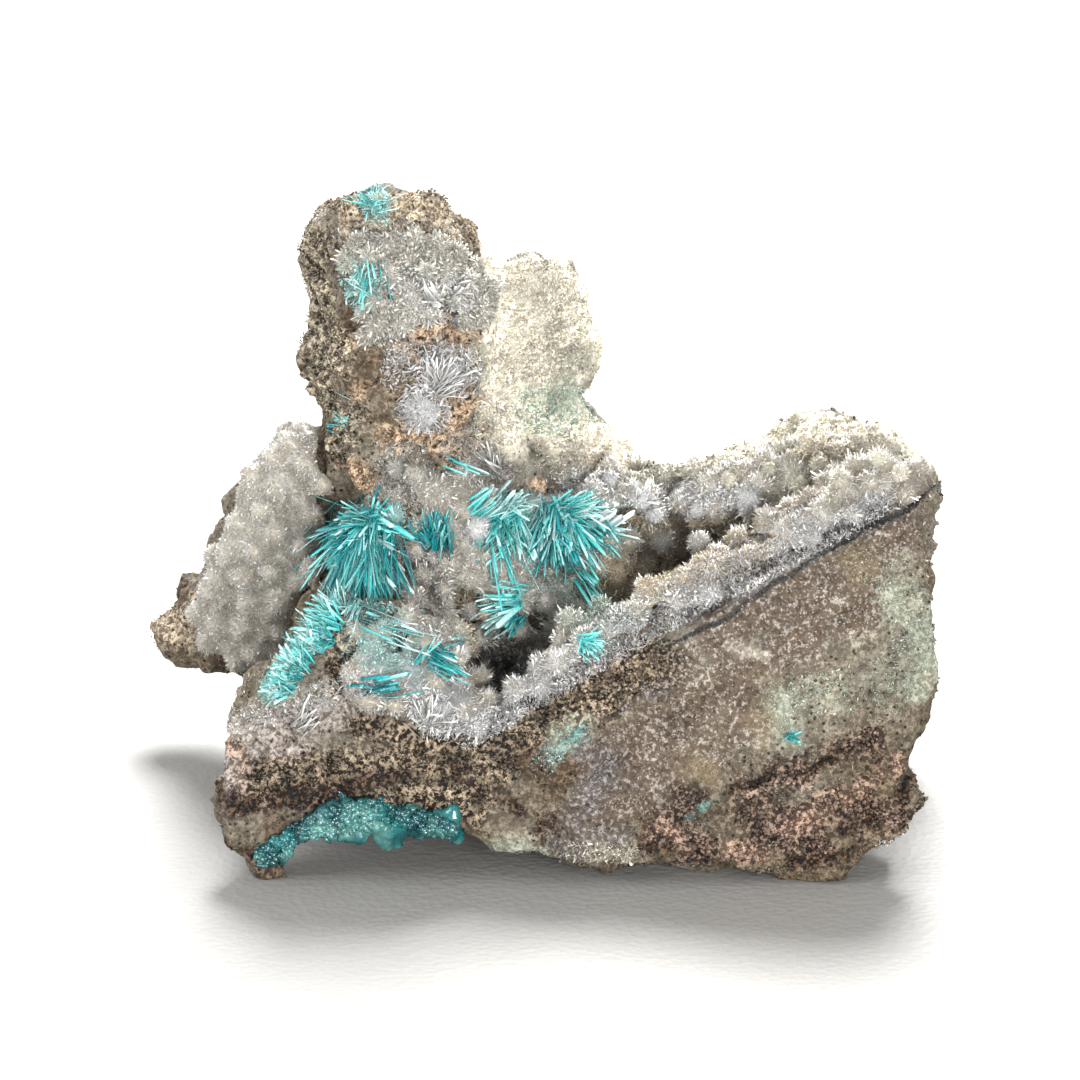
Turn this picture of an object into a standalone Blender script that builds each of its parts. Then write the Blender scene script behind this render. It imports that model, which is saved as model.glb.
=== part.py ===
# A hand specimen of hemimorphite: a brown and cream limonite rock with a hollow in its middle, crusts of
# colourless hemimorphite crystals in the hollow and on two of its outer faces, and sprays of blue-green
# aurichalcite blades.
# It stands on four small broken facets in the plane z = 0, its broken face towards -Y. Metres, +Z up.
import math
import random

import bmesh
import bpy
from mathutils import Matrix, Vector, noise
from mathutils.bvhtree import BVHTree

MM = 0.001

# The view that the outlines below are read in: a picture 1080 pixels square, looking along +Y and a little
# down.
# Every outline and lump is (pixel across, pixel down), set at a depth y of its own.
PICTURE_MIDDLE = 540
PIXEL = 0.080 * MM
VIEW_DISTANCE = 450 * MM
VIEW_DOWN = math.radians(18)
VIEW_TARGET = Vector((-0.7, -2.2, 21.7)) * MM

# Moves the finished model so that its origin is under the middle of its box
TO_ORIGIN = Vector((0.8, 2.0, 0)) * MM

# Driving sizes
GAP = 0.35 * MM
MASS_VOXEL = 0.75 * MM
MASS_TRIANGLES = 9000
HOLLOW_TRIANGLES = 700
ARCH_TRIANGLES = 400
ROCK_VOXEL = 0.60 * MM
ROCK_TRIANGLES = 3300
# Lumps on the rock: the height and the width of each size in mm, and where its pattern starts
ROCK_LUMPS = [(1.3, 7.0, 0), (1.0, 2.6, 11)]
CRUST_VOXEL = 0.5 * MM
CRUST_SINK = 0.3 * MM
LINING_RAYS = 36
LINING_REACH = 7 * MM
# Crystals on the crusts: the least face that carries one, its height for its width, how far it keeps from the
# rock and from the blades, and how squarely its face looks away from the rock
CRYSTAL_FACE = 0.7 * MM * MM
CRYSTAL_HEIGHT = (0.4, 0.96)
CRYSTAL_FROM_ROCK = 2 * GAP
CRYSTAL_FROM_BLADES = 1.5 * GAP
CRYSTAL_FACING = 0.3
# Sprays: how far the ball's middle is above its seat, the width of a blade's root for the ball's radius, the
# taper to its tip, how far the long tips stand towards the eye in mm, and how wide and how unevenly the
# others fan out
SPRAY_LIFT = 0.4 * MM
BLADE_WIDTH = 0.36
BLADE_TAPER = 0.4
BLADE_SIDES = 3
TIP_LIFT = (0.5, 2.5)
FAN_SPREAD = 0.8
FAN_LENGTH = (0.7, 1.15)

# Finishes: colour, roughness and transmission
LIMONITE = ((0.36, 0.26, 0.17), 0.9, 0.0)
HEMIMORPHITE = ((0.78, 0.78, 0.74), 0.15, 0.6)
AURICHALCITE = ((0.16, 0.62, 0.60), 0.3, 0.3)
MINERAL_IOR = 1.61

# Broken face at the front right: everything below the dark vein
PLATE_OUTLINE = [
    (425, 752), (470, 738), (520, 712), (570, 682), (640, 648), (705, 622), (760, 588), (820, 556),
    (880, 528), (938, 484), (941, 502), (930, 524), (921, 545), (928, 572), (926, 592), (934, 604),
    (932, 618), (943, 638), (936, 660), (943, 682), (936, 706), (930, 735), (918, 748), (921, 785),
    (915, 802), (919, 832), (890, 853), (868, 867), (815, 871), (790, 882), (765, 868), (700, 862),
    (620, 864), (560, 859), (500, 850), (455, 838), (420, 800),
]
# Front left foot: the layered end that stands forward
FOOT_OUTLINE = [
    (213, 722), (240, 709), (262, 699), (300, 690), (345, 672), (400, 672), (440, 700), (470, 738),
    (480, 790), (470, 842), (425, 838), (365, 842), (340, 824), (312, 840), (284, 854), (268, 872),
    (252, 860), (238, 846), (214, 827), (213, 800), (209, 780),
]
# Column, as the upright wall that carries it: its front part and the broader part behind
COLUMN_FRONT_OUTLINE = [
    (336, 262), (352, 196), (372, 186), (392, 194), (440, 200), (470, 222), (480, 262), (498, 330),
    (520, 420), (560, 500), (470, 530), (380, 520), (346, 470), (340, 400), (332, 330),
]
COLUMN_BACK_OUTLINE = [
    (301, 206), (314, 196), (334, 195), (355, 180), (376, 181), (392, 193), (440, 199), (463, 214),
    (476, 215), (486, 238), (492, 256), (516, 252), (536, 246), (566, 249), (582, 266), (590, 292),
    (600, 318), (607, 344), (600, 365), (580, 388), (578, 404), (583, 420), (606, 444), (640, 540),
    (560, 640), (420, 640), (330, 560), (322, 440), (310, 405), (300, 392), (306, 372), (304, 345),
    (312, 312), (316, 282), (305, 258), (302, 236),
]
# Wall behind the hollow: the saddle, and the hump at the right
WALL_OUTLINE = [
    (540, 430), (590, 438), (625, 456), (672, 466), (718, 459), (756, 440), (790, 421), (830, 412),
    (868, 417), (895, 437), (922, 456), (941, 478), (925, 560), (925, 700), (880, 780), (600, 800),
    (420, 780), (430, 620),
]
# The slabs: outline, depth and thickness in mm, lean, the back's size for the front's, and its drop in mm
SLABS = [
    (PLATE_OUTLINE, -22.5, 8, 0.2, 0.93, 1.0),
    (FOOT_OUTLINE, -22.0, 10, 0.25, 0.8, -1.5),
    (COLUMN_FRONT_OUTLINE, -3.0, 6, 0.05, 0.95, 2.0),
    (COLUMN_BACK_OUTLINE, 1.0, 9, 0.05, 0.85, 3.0),
    (WALL_OUTLINE, 3.0, 9, 0.05, 0.88, 3.0),
]
# Eggs that thicken the slabs: pixel across and down, depth, radii in mm, and some with a tilt in degrees
FRONT_MASSES = [
    (385, 655, -14, (4.6, 4.5, 4.4)), (350, 610, -14, (1.8, 2.2, 2.2)), (318, 662, -15, (4.0, 4.0, 3.4)),
    (290, 690, -17, (3.4, 3.5, 2.0)), (430, 705, -16, (3.2, 3.0, 2.6)), (470, 560, -1, (6.5, 5.5, 6.5)),
    (555, 565, 0, (6.5, 5.5, 5.0)), (612, 525, 1, (4.2, 4.4, 4.0)), (430, 500, -1, (5.0, 4.5, 5.0)),
    (400, 300, 0, (5.0, 5.0, 5.0)), (440, 400, -1, (4.5, 4.5, 6.0)), (372, 545, -3, (3.2, 4.0, 3.6)),
    (330, 640, -8, (3.0, 6.0, 3.4)), (352, 602, -6, (3.0, 4.0, 3.0)), (480, 735, -17.5, 1.9),
    (520, 705, -16.5, 2.1), (560, 682, -16, 2.2), (600, 660, -15.5, 2.3), (645, 634, -15, 2.3),
    (690, 606, -14, 2.5), (735, 580, -13, 2.6), (780, 556, -12.2, 2.6), (825, 530, -11.5, 2.7),
    (870, 508, -11, 2.8), (908, 488, -10.5, 2.4), (800, 490, -1, (4.5, 5.0, 4.0)),
    (850, 475, 0, (5.0, 5.5, 4.4)), (740, 488, 0, (3.6, 4.4, 3.0)), (885, 505, -6, (4.0, 6.5, 4.5)),
    (880, 565, -6, (4.0, 8.0, 8.0)),
]
# Lobe behind the column's left side, which overhangs its tip
LOBE_MASSES = [
    (322, 470, 8, (3.6, 4.4, 4.0)), (290, 520, 9, (4.6, 5.0, 4.8)), (300, 590, 9, (5.5, 5.5, 5.5)),
    (250, 562, 11, (3.6, 4.0, 3.6)), (232, 612, 12, (5.0, 4.2, 3.8)), (188, 638, 13, (3.0, 3.0, 2.2), 12),
    (217, 650, 12, (4.3, 3.6, 1.7)), (262, 640, 10, (4.0, 4.0, 3.2)),
]
# Eggs of the side that the picture doesn't show, at places in mm
REAR_MASSES = [
    ((-6, 6, 9.5), (12, 8, 9)), ((8, 7, 8.5), (13, 8, 8)), ((19, 3, 8.5), (8, 7, 8)),
    ((-14, 2, 12), (6, 8, 8)), ((0, -6, 6), (14, 9, 5.4)), ((14, -8, 7), (12, 9, 6.4)),
    ((-15, -9, 6), (7, 8, 4.5)), ((22, -6, 9), (5.5, 8, 8)), ((22, -3, 19), (5, 7, 6)),
    ((19, 9, 9), (7, 5, 6)), ((24, 6, 15), (4, 4, 5)), ((-4, 14, 15), (6, 4, 6)),
    ((8, 13, 12), (7, 4.5, 6)), ((-9, 9, 30), (6, 4, 8)), ((1, 10, 25), (5, 4, 5)),
    ((-12, 12, 22), (4, 4, 4)), ((-2, 12, 36), (4, 3.5, 4)), ((14, 12, 21), (5, 3, 3.4)),
    ((0, 15, 7), (9, 3.4, 5)),
]
# Low eggs that reach the plane the rock stands on: the tip of the left foot, the front right corner, and the
# back
FEET = [
    ((-21.6, -19.8, 1.2), (2.2, 2.0, 2.6)), ((19.5, -20.2, 1.6), (4.0, 2.4, 3.2)),
    ((12, -17, 2.2), (5, 3, 3)), ((6, 11, 2.6), (9.5, 4.6, 4.2)), ((-6, 10, 2.8), (5, 4.4, 4.0)),
]
# Eggs taken away: the hollow and its trough behind the broken face
HOLLOW = [
    (500, 672, -9.5, (4.4, 7.5, 4.2)), (452, 660, -8.5, (3.6, 4.0, 3.4)), (550, 645, -9, (5.0, 4.6, 4.4)),
    (610, 610, -7.5, (5.0, 4.4, 4.2)), (670, 575, -5.5, (5.5, 4.6, 3.8)),
    (735, 548, -4.5, (5.0, 4.2, 3.2)), (800, 522, -5.0, (4.6, 3.2, 2.2)), (690, 552, -1, (6.5, 4.0, 3.0)),
    (425, 612, -9, (4.2, 4.0, 4.2)), (500, 750, -7, (3.0, 3.0, 3.0)),
]
# Eggs taken away under the front: the arch beside the left foot, and the raised edge next to it
ARCH = [(345, 858, -20, (5.0, 9.0, 3.6)), (420, 866, -20, (6.0, 9.0, 2.6)), (540, 884, -22, (9.0, 6.0, 2.0))]

# Where crystals cover the rock: outlines in the picture
HOLLOW_ZONE = [
    (400, 520), (405, 470), (445, 455), (500, 500), (560, 505), (600, 470), (660, 482), (720, 476),
    (770, 464), (840, 446), (890, 462), (924, 484), (880, 512), (820, 545), (760, 576), (700, 610),
    (640, 640), (580, 672), (520, 706), (474, 742), (436, 735), (400, 716), (352, 692), (348, 640),
    (362, 612), (410, 612), (430, 590),
]
LOBE_ZONE = [
    (318, 430), (285, 450), (262, 480), (240, 500), (228, 545), (205, 570), (205, 610), (235, 655),
    (268, 662), (320, 640), (328, 560), (326, 480),
]
COLUMN_ZONE = [
    (345, 262), (400, 235), (470, 225), (490, 262), (500, 330), (470, 335), (440, 300), (400, 330),
    (360, 335),
]
UNDER_ZONE = [(258, 866), (280, 836), (312, 816), (340, 798), (400, 806), (462, 814), (466, 842), (300, 866)]

# Crusts: where each grows, the step in pixels between its lumps, their radii in mm, its triangles before it
# is fitted to the rock, and its finish
CRUSTS = {
    "hollow_crust": (HOLLOW_ZONE, 20, (1.3, 2.0), 620, HEMIMORPHITE),
    "lobe_crust": (LOBE_ZONE, 24, (1.6, 2.6), 330, HEMIMORPHITE),
    "column_crust": (COLUMN_ZONE, 20, (1.2, 1.8), 150, HEMIMORPHITE),
    "under_crust": (UNDER_ZONE, 14, (1.0, 1.4), 100, AURICHALCITE),
}
# Sprays of blades. Each has its root and the tips of its longest blades, in the picture, the length in mm of
# the blades added between them, how many of those there are, and the radius in mm of the ball that they leave
# from
SPRAYS = {
    "spray_left": (
        (364, 548),
        [(330, 592), (346, 572), (372, 602), (406, 580), (402, 546), (338, 520), (352, 625)], 4.2, 6, 1.7,
    ),
    "spray_middle": (
        (492, 532), [(511, 487), (478, 562), (463, 502), (532, 571), (505, 590), (486, 486)], 3.8, 5, 1.5,
    ),
    "spray_right": (
        (575, 534), [(540, 565), (587, 562), (612, 505), (634, 526), (608, 601), (556, 505)], 3.8, 5, 1.5,
    ),
    "spray_low": ((508, 608), [(480, 590), (480, 617), (486, 638), (522, 636)], 2.8, 4, 1.1),
    "spray_dark": ((434, 530), [(424, 510), (447, 553), (426, 550)], 2.4, 3, 1.0),
    "slope_upper": ((322, 628), [(300, 588), (290, 622), (330, 596), (306, 652)], 3.2, 4, 1.4),
    "slope_lower": ((292, 668), [(270, 640), (260, 694), (296, 642), (282, 690)], 2.8, 4, 1.3),
    "spray_dome": ((402, 640), [(438, 640), (446, 664), (470, 682), (378, 612), (362, 688)], 3.2, 1, 1.1),
    "spray_top": ((366, 202), [(350, 184), (386, 182), (378, 222), (358, 224)], 1.5, 2, 1.2),
    "spray_column": ((372, 284), [(350, 262), (390, 260), (380, 308), (354, 304)], 2.2, 3, 1.2),
}


def ray(px, py):
    # The eye, and the direction in which it sees this pixel
    down = VIEW_DOWN
    forward = Vector((0, math.cos(down), -math.sin(down)))
    up = Vector((0, math.sin(down), math.cos(down)))
    eye = VIEW_TARGET - forward * VIEW_DISTANCE
    across = (px - PICTURE_MIDDLE) * PIXEL
    above = (PICTURE_MIDDLE - py) * PIXEL
    return eye, forward * VIEW_DISTANCE + Vector((across, 0, 0)) + up * above


def seen(px, py, depth, lean=0.0):
    # The point seen at this pixel on the plane y = depth, in mm, which leans back by lean for each unit of
    # height
    eye, direction = ray(px, py)
    reach = (depth * MM + lean * eye.z - eye.y) / (direction.y - lean * direction.z)
    return eye + direction * reach


def new_object(name, bm):
    bmesh.ops.recalc_face_normals(bm, faces=bm.faces)
    mesh = bpy.data.meshes.new(name)
    bm.to_mesh(mesh)
    bm.free()
    made = bpy.data.objects.new(name, mesh)
    bpy.context.scene.collection.objects.link(made)
    return made


def slab(outline, depth, thickness, lean, back_scale, drop):
    # A thick plate: the outline at the front, and at the back the same outline drawn in towards its middle
    # and lower
    bm = bmesh.new()
    front = [seen(px, py, depth, lean) for px, py in outline]
    middle = sum(front, Vector()) / len(front)
    push = Vector((0, thickness, -drop)) * MM
    back = [middle + (point - middle) * back_scale + push for point in front]
    rings = [[bm.verts.new(point) for point in ring] for ring in (front, back)]
    bm.faces.new(rings[0])
    bm.faces.new(rings[1])
    for i in range(len(outline)):
        j = (i + 1) % len(outline)
        bm.faces.new((rings[0][i], rings[0][j], rings[1][j], rings[1][i]))
    return new_object("slab", bm)


def egg(place, radii, tilt=0.0):
    # A ball or an egg of these radii in mm, tilted in the plane of the picture
    bm = bmesh.new()
    across, away, high = radii if isinstance(radii, tuple) else (radii,) * 3
    matrix = (
        Matrix.Translation(place)
        @ Matrix.Rotation(math.radians(tilt), 4, "Y")
        @ Matrix.Diagonal((across * MM, away * MM, high * MM, 1))
    )
    bmesh.ops.create_icosphere(bm, subdivisions=3, radius=1, matrix=matrix)
    return new_object("egg", bm)


def seen_eggs(rows):
    return [egg(seen(px, py, depth), radii, *tilt) for px, py, depth, radii, *tilt in rows]


def placed_eggs(rows):
    return [egg(Vector(place) * MM, radii, *tilt) for place, radii, *tilt in rows]


def apply_modifiers(obj):
    graph = bpy.context.evaluated_depsgraph_get()
    graph.update()
    mesh = bpy.data.meshes.new_from_object(obj.evaluated_get(graph))
    obj.modifiers.clear()
    obj.data = mesh
    return obj


def fused(name, objects, voxel):
    # One closed skin around several overlapping solids
    bm = bmesh.new()
    for obj in objects:
        bm.from_mesh(obj.data)
        bpy.data.objects.remove(obj)
    whole = new_object(name, bm)
    remesh = whole.modifiers.new("Fuse", "REMESH")
    remesh.mode = "VOXEL"
    remesh.voxel_size = voxel
    return apply_modifiers(whole)


def remeshed(obj, voxel):
    remesh = obj.modifiers.new("Even", "REMESH")
    remesh.mode = "VOXEL"
    remesh.voxel_size = voxel
    return apply_modifiers(obj)


def thinned(obj, triangles):
    decimate = obj.modifiers.new("Thin", "DECIMATE")
    obj.data.calc_loop_triangles()
    decimate.ratio = min(1.0, triangles / len(obj.data.loop_triangles))
    decimate.use_collapse_triangulate = True
    return apply_modifiers(obj)


def smoothed(obj, factor, times):
    smooth = obj.modifiers.new("Smooth", "SMOOTH")
    smooth.factor = factor
    smooth.iterations = times
    return apply_modifiers(obj)


def combined(obj, other, operation, solver):
    boolean = obj.modifiers.new("Combine", "BOOLEAN")
    boolean.operation = operation
    boolean.object = other
    boolean.solver = solver
    if solver == "EXACT":
        boolean.use_self = True
    return apply_modifiers(obj)


def roughened(obj, layers):
    # Each layer moves the surface in and out by a height in mm, over lumps of a width in mm
    mesh = obj.data
    normals = [vertex.normal.copy() for vertex in mesh.vertices]
    for vertex, normal in zip(mesh.vertices, normals):
        place = vertex.co / MM
        shift = 0
        for height, width, offset in layers:
            shift += height * noise.noise(place / width + Vector((offset, 0, 0)))
        vertex.co += normal * shift * MM
    mesh.update()
    return obj


def hollowed(rock, rows, triangles):
    cutter = fused("cutter", seen_eggs(rows), MASS_VOXEL)
    thinned(cutter, triangles)
    combined(rock, cutter, "DIFFERENCE", "EXACT")
    bpy.data.objects.remove(cutter)


def stand_flat(obj):
    # Cuts the rock off in the plane that it stands on
    bm = bmesh.new()
    bm.from_mesh(obj.data)
    everything = bm.verts[:] + bm.edges[:] + bm.faces[:]
    plane = {"plane_co": (0, 0, 0), "plane_no": (0, 0, -1)}
    sliced = bmesh.ops.bisect_plane(bm, geom=everything, clear_outer=True, **plane)
    rim = [edge for edge in sliced["geom_cut"] if isinstance(edge, bmesh.types.BMEdge)]
    bmesh.ops.triangle_fill(bm, use_beauty=True, use_dissolve=False, edges=rim, normal=(0, 0, -1))
    bmesh.ops.recalc_face_normals(bm, faces=bm.faces)
    bm.to_mesh(obj.data)
    bm.free()


def tree_of(objects):
    points, faces = [], []
    for obj in objects:
        first = len(points)
        points += [vertex.co.copy() for vertex in obj.data.vertices]
        faces += [[first + i for i in face.vertices] for face in obj.data.polygons]
    return BVHTree.FromPolygons(points, faces)


def inside(px, py, outline):
    crossings = 0
    for (x0, y0), (x1, y1) in zip(outline, outline[1:] + outline[:1]):
        if (y0 > py) != (y1 > py) and px < x0 + (py - y0) * (x1 - x0) / (y1 - y0):
            crossings += 1
    return crossings % 2 == 1


def clearance(objects, gap):
    # A copy of what a piece sits on, grown by the gap
    bm = bmesh.new()
    for obj in objects:
        bm.from_mesh(obj.data)
    bm.normal_update()
    shifts = [vertex.normal * gap for vertex in bm.verts]
    for vertex, shift in zip(bm.verts, shifts):
        vertex.co += shift
    return new_object("clearance", bm)


def largest_piece(obj):
    # Keeps the faces that hang together edge to edge in the greatest number
    bm = bmesh.new()
    bm.from_mesh(obj.data)
    left = set(bm.faces)
    pieces = []
    while left:
        piece = set()
        rim = [left.pop()]
        while rim:
            face = rim.pop()
            piece.add(face)
            for edge in face.edges:
                if len(edge.link_faces) == 2:
                    met = [other for other in edge.link_faces if other in left]
                    left.difference_update(met)
                    rim.extend(met)
        pieces.append(piece)
    keep = max(pieces, key=len)
    bmesh.ops.delete(bm, geom=[face for face in bm.faces if face not in keep], context="FACES")
    bmesh.ops.triangulate(bm, faces=bm.faces)
    bmesh.ops.recalc_face_normals(bm, faces=bm.faces)
    bm.to_mesh(obj.data)
    bm.free()


def spread(a, b, c, steps):
    # Points spread evenly over a triangle
    for i in range(steps + 1):
        for j in range(steps + 1 - i):
            yield (a * i + b * j + c * (steps - i - j)) / steps


def raise_crystals(obj, rock, sprays, rng):
    # Raises a point, of a height for its width, on every broad face that looks away from the rock and has
    # room
    ground = tree_of([rock])
    blades = tree_of(sprays)
    bm = bmesh.new()
    bm.from_mesh(obj.data)
    bm.normal_update()
    chosen = []
    for face in bm.faces:
        middle = face.calc_center_median()
        near, _, _, far = ground.find_nearest(middle)
        outside = far > CRYSTAL_FROM_ROCK and face.normal.dot(middle - near) > CRYSTAL_FACING * far
        rise = math.sqrt(face.calc_area()) * rng.uniform(*CRYSTAL_HEIGHT)
        apex = middle + face.normal * rise
        a, b, c = [vertex.co for vertex in face.verts]
        reach = [point for side in ((a, b), (b, c), (c, a)) for point in spread(*side, apex, 5)]
        if outside and face.calc_area() > CRYSTAL_FACE and ground.find_nearest(apex)[3] > CRYSTAL_FROM_ROCK:
            blocked = ground.ray_cast(middle, face.normal, rise + CRYSTAL_FROM_ROCK)[0] is not None
            if not blocked and min(blades.find_nearest(point)[3] for point in reach) > CRYSTAL_FROM_BLADES:
                chosen.append((face, rise))
    for face, rise in chosen:
        bmesh.ops.poke(bm, faces=[face], offset=rise, center_mode="MEAN")
    bm.to_mesh(obj.data)
    bm.free()


def zone_spots(surface, zone, step, rng):
    # Places on the rock inside an outline in the picture, in staggered rows
    left, right = min(px for px, py in zone), max(px for px, py in zone)
    top, bottom = min(py for px, py in zone), max(py for px, py in zone)
    spots = []
    for row, py in enumerate(range(top, bottom, step)):
        for px in range(left + (row % 2) * step // 2, right, step):
            spot = px + rng.uniform(-0.3, 0.3) * step, py + rng.uniform(-0.3, 0.3) * step
            if inside(*spot, zone):
                eye, direction = ray(*spot)
                spots.append(surface.ray_cast(eye, direction.normalized()))
    return spots


def lining_spots(surface):
    # Places on the hollow's walls, in even directions from the middle of each egg that made it
    spots = []
    for px, py, depth, _ in HOLLOW[:-1]:
        middle = seen(px, py, depth)
        for i in range(LINING_RAYS):
            height = 1 - 2 * (i + 0.5) / LINING_RAYS
            turn = i * math.pi * (3 - math.sqrt(5))
            level = math.sqrt(1 - height * height)
            aim = Vector((math.cos(turn) * level, math.sin(turn) * level, height))
            spots.append(surface.ray_cast(middle, aim, LINING_REACH))
    return spots


def crust(name, rock, spots, radii, triangles, rng):
    seats = [hit - normal * CRUST_SINK for hit, normal, _, _ in spots if hit is not None]
    balls = [egg(seat, rng.uniform(*radii)) for seat in seats]
    whole = fused(name, balls, CRUST_VOXEL)
    thinned(whole, triangles)
    room = clearance([rock], GAP)
    combined(whole, room, "DIFFERENCE", "EXACT")
    bpy.data.objects.remove(room)
    largest_piece(whole)
    return whole


def blade(foot, tip, width):
    # A bar that tapers from its foot to its tip
    aim = (tip - foot).normalized()
    side = aim.orthogonal().normalized()
    bm = bmesh.new()
    rings = []
    for place, reach in ((foot, width), (tip, width * BLADE_TAPER)):
        turns = [Matrix.Rotation(math.tau * i / BLADE_SIDES, 3, aim) for i in range(BLADE_SIDES)]
        rings.append([bm.verts.new(place + turn @ side * reach) for turn in turns])
        bm.faces.new(rings[-1])
    for i in range(BLADE_SIDES):
        j = (i + 1) % BLADE_SIDES
        bm.faces.new((rings[0][i], rings[0][j], rings[1][j], rings[1][i]))
    return new_object("blade", bm)


def spray(name, root, tips, length, count, radius, surface, rooms, rng):
    # Blades that leave a small ball, joined to it one by one
    eye, direction = ray(*root)
    seat, outward, _, _ = surface.ray_cast(eye, direction.normalized())
    toward_eye = -direction.normalized()
    outward = (outward + toward_eye).normalized()
    centre = seat + outward * SPRAY_LIFT
    bm = bmesh.new()
    bmesh.ops.create_icosphere(bm, subdivisions=1, radius=radius * MM, matrix=Matrix.Translation(centre))
    whole = new_object(name, bm)
    far_ends = []
    for tip in tips:
        tip_eye, tip_direction = ray(*tip)
        level = (centre - tip_eye).dot(toward_eye) / tip_direction.dot(toward_eye)
        far_ends.append(tip_eye + tip_direction * level + toward_eye * rng.uniform(*TIP_LIFT) * MM)
    for _ in range(count):
        aim = outward + FAN_SPREAD * Vector([rng.gauss(0, 1) for _ in range(3)])
        if aim.dot(outward) < 0:
            aim = -aim
        far_ends.append(centre + aim.normalized() * length * rng.uniform(*FAN_LENGTH) * MM)
    # The exact solver leaves open edges where blades cross
    for far_end in far_ends:
        added = blade(centre, far_end, radius * BLADE_WIDTH * MM)
        combined(whole, added, "UNION", "MANIFOLD")
        bpy.data.objects.remove(added)
    for room in rooms:
        combined(whole, room, "DIFFERENCE", "MANIFOLD")
    largest_piece(whole)
    return whole


def finish(obj, look):
    colour, roughness, transmission = look
    material = bpy.data.materials.new(obj.name)
    material.use_nodes = True
    shader = material.node_tree.nodes["Principled BSDF"]
    shader.inputs["Base Color"].default_value = (*colour, 1)
    shader.inputs["Roughness"].default_value = roughness
    shader.inputs["Metallic"].default_value = 0
    shader.inputs["Transmission Weight"].default_value = transmission
    shader.inputs["IOR"].default_value = MINERAL_IOR
    material.diffuse_color = (*colour, 1)
    obj.data.materials.clear()
    obj.data.materials.append(material)


def build_rock():
    masses = [slab(*row) for row in SLABS]
    masses += seen_eggs(FRONT_MASSES) + seen_eggs(LOBE_MASSES) + placed_eggs(REAR_MASSES + FEET)
    rock = fused("matrix", masses, MASS_VOXEL)
    smoothed(rock, 0.5, 2)
    thinned(rock, MASS_TRIANGLES)
    hollowed(rock, HOLLOW, HOLLOW_TRIANGLES)
    hollowed(rock, ARCH, ARCH_TRIANGLES)
    remeshed(rock, ROCK_VOXEL)
    smoothed(rock, 0.5, 1)
    roughened(rock, ROCK_LUMPS)
    thinned(rock, ROCK_TRIANGLES)
    stand_flat(rock)
    finish(rock, LIMONITE)
    return rock


def build_crusts(rock):
    surface = tree_of([rock])
    rng = random.Random(3)
    crusts = []
    for name, (zone, step, radii, triangles, look) in CRUSTS.items():
        spots = zone_spots(surface, zone, step, rng)
        if name == "hollow_crust":
            spots += lining_spots(surface)
        crusts.append(crust(name, rock, spots, radii, triangles, rng))
        finish(crusts[-1], look)
    return crusts


def build_sprays(carriers):
    rng = random.Random(20)
    surface = tree_of(carriers)
    # The grown copy can fall short in sharp corners, so one that is hardly grown is cut away after it
    rooms = [clearance(carriers, GAP), clearance(carriers, 0.1 * GAP)]
    sprays = []
    for name, (root, tips, length, count, radius) in SPRAYS.items():
        sprays.append(spray(name, root, tips, length, count, radius, surface, rooms, rng))
        finish(sprays[-1], AURICHALCITE)
    for room in rooms:
        bpy.data.objects.remove(room)
    return sprays


def main():
    for obj in list(bpy.data.objects):
        bpy.data.objects.remove(obj)
    rock = build_rock()
    crusts = build_crusts(rock)
    sprays = build_sprays([rock] + crusts)
    rng = random.Random(7)
    for grown in crusts:
        raise_crystals(grown, rock, sprays, rng)
    for obj in [rock] + crusts + sprays:
        obj.data.transform(Matrix.Translation(TO_ORIGIN))


main()
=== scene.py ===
import math

import bmesh
import bpy
import numpy as np
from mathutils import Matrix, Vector
from mathutils.bvhtree import BVHTree


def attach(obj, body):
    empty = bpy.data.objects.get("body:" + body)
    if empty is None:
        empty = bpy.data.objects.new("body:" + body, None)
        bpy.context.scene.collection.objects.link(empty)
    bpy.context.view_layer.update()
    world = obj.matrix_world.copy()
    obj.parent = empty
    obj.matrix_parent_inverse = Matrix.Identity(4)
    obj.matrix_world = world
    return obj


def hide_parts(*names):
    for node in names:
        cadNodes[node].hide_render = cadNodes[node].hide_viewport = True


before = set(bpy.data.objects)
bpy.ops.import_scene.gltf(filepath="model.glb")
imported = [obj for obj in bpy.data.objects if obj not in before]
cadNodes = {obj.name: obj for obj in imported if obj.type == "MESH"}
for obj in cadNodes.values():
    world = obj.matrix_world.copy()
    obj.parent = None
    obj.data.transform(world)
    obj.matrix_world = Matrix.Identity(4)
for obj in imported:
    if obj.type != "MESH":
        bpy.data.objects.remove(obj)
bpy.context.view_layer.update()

mm = 0.001


# small helpers for numbers
def tone(red, green, blue):
    # a colour given on screen (0 to 1), as the linear value that nodes take
    return np.array([((c + 0.055) / 1.055) ** 2.4 if c > 0.04045 else c / 12.92 for c in (red, green, blue)])


def smooth(x):
    x = np.clip(x, 0.0, 1.0)
    return x * x * (3 - 2 * x)


def unit(v):
    return v / np.maximum(np.linalg.norm(v, axis=-1, keepdims=True), 1e-9)


latticeSize = 256
lattice = np.random.default_rng(5).permutation(latticeSize)
latticeValue = np.random.default_rng(6).uniform(-1, 1, latticeSize)
latticePoint = np.random.default_rng(7).uniform(0, 1, (latticeSize, 3))


def latticeIndex(cell):
    i, j, k = (cell[..., axis] % latticeSize for axis in range(3))
    return lattice[(lattice[(lattice[i] + j) % latticeSize] + k) % latticeSize]


def lumps(points, width, start):
    # smooth noise from -1 to 1, with lumps of this width
    p = points / width + start
    cell = np.floor(p).astype(int)
    f = p - cell
    f = f * f * (3 - 2 * f)
    total = np.zeros(len(points))
    for corner in np.ndindex(2, 2, 2):
        share = np.prod(np.where(corner, f, 1 - f), axis=-1)
        total += share * latticeValue[latticeIndex(cell + corner)]
    return total


def layeredLumps(points, width, layers, start):
    # each layer is half as wide and half as strong as the last
    return sum(lumps(points, width / 2 ** i, start + 7.3 * i) / 2 ** i for i in range(layers)) / 1.6


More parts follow.
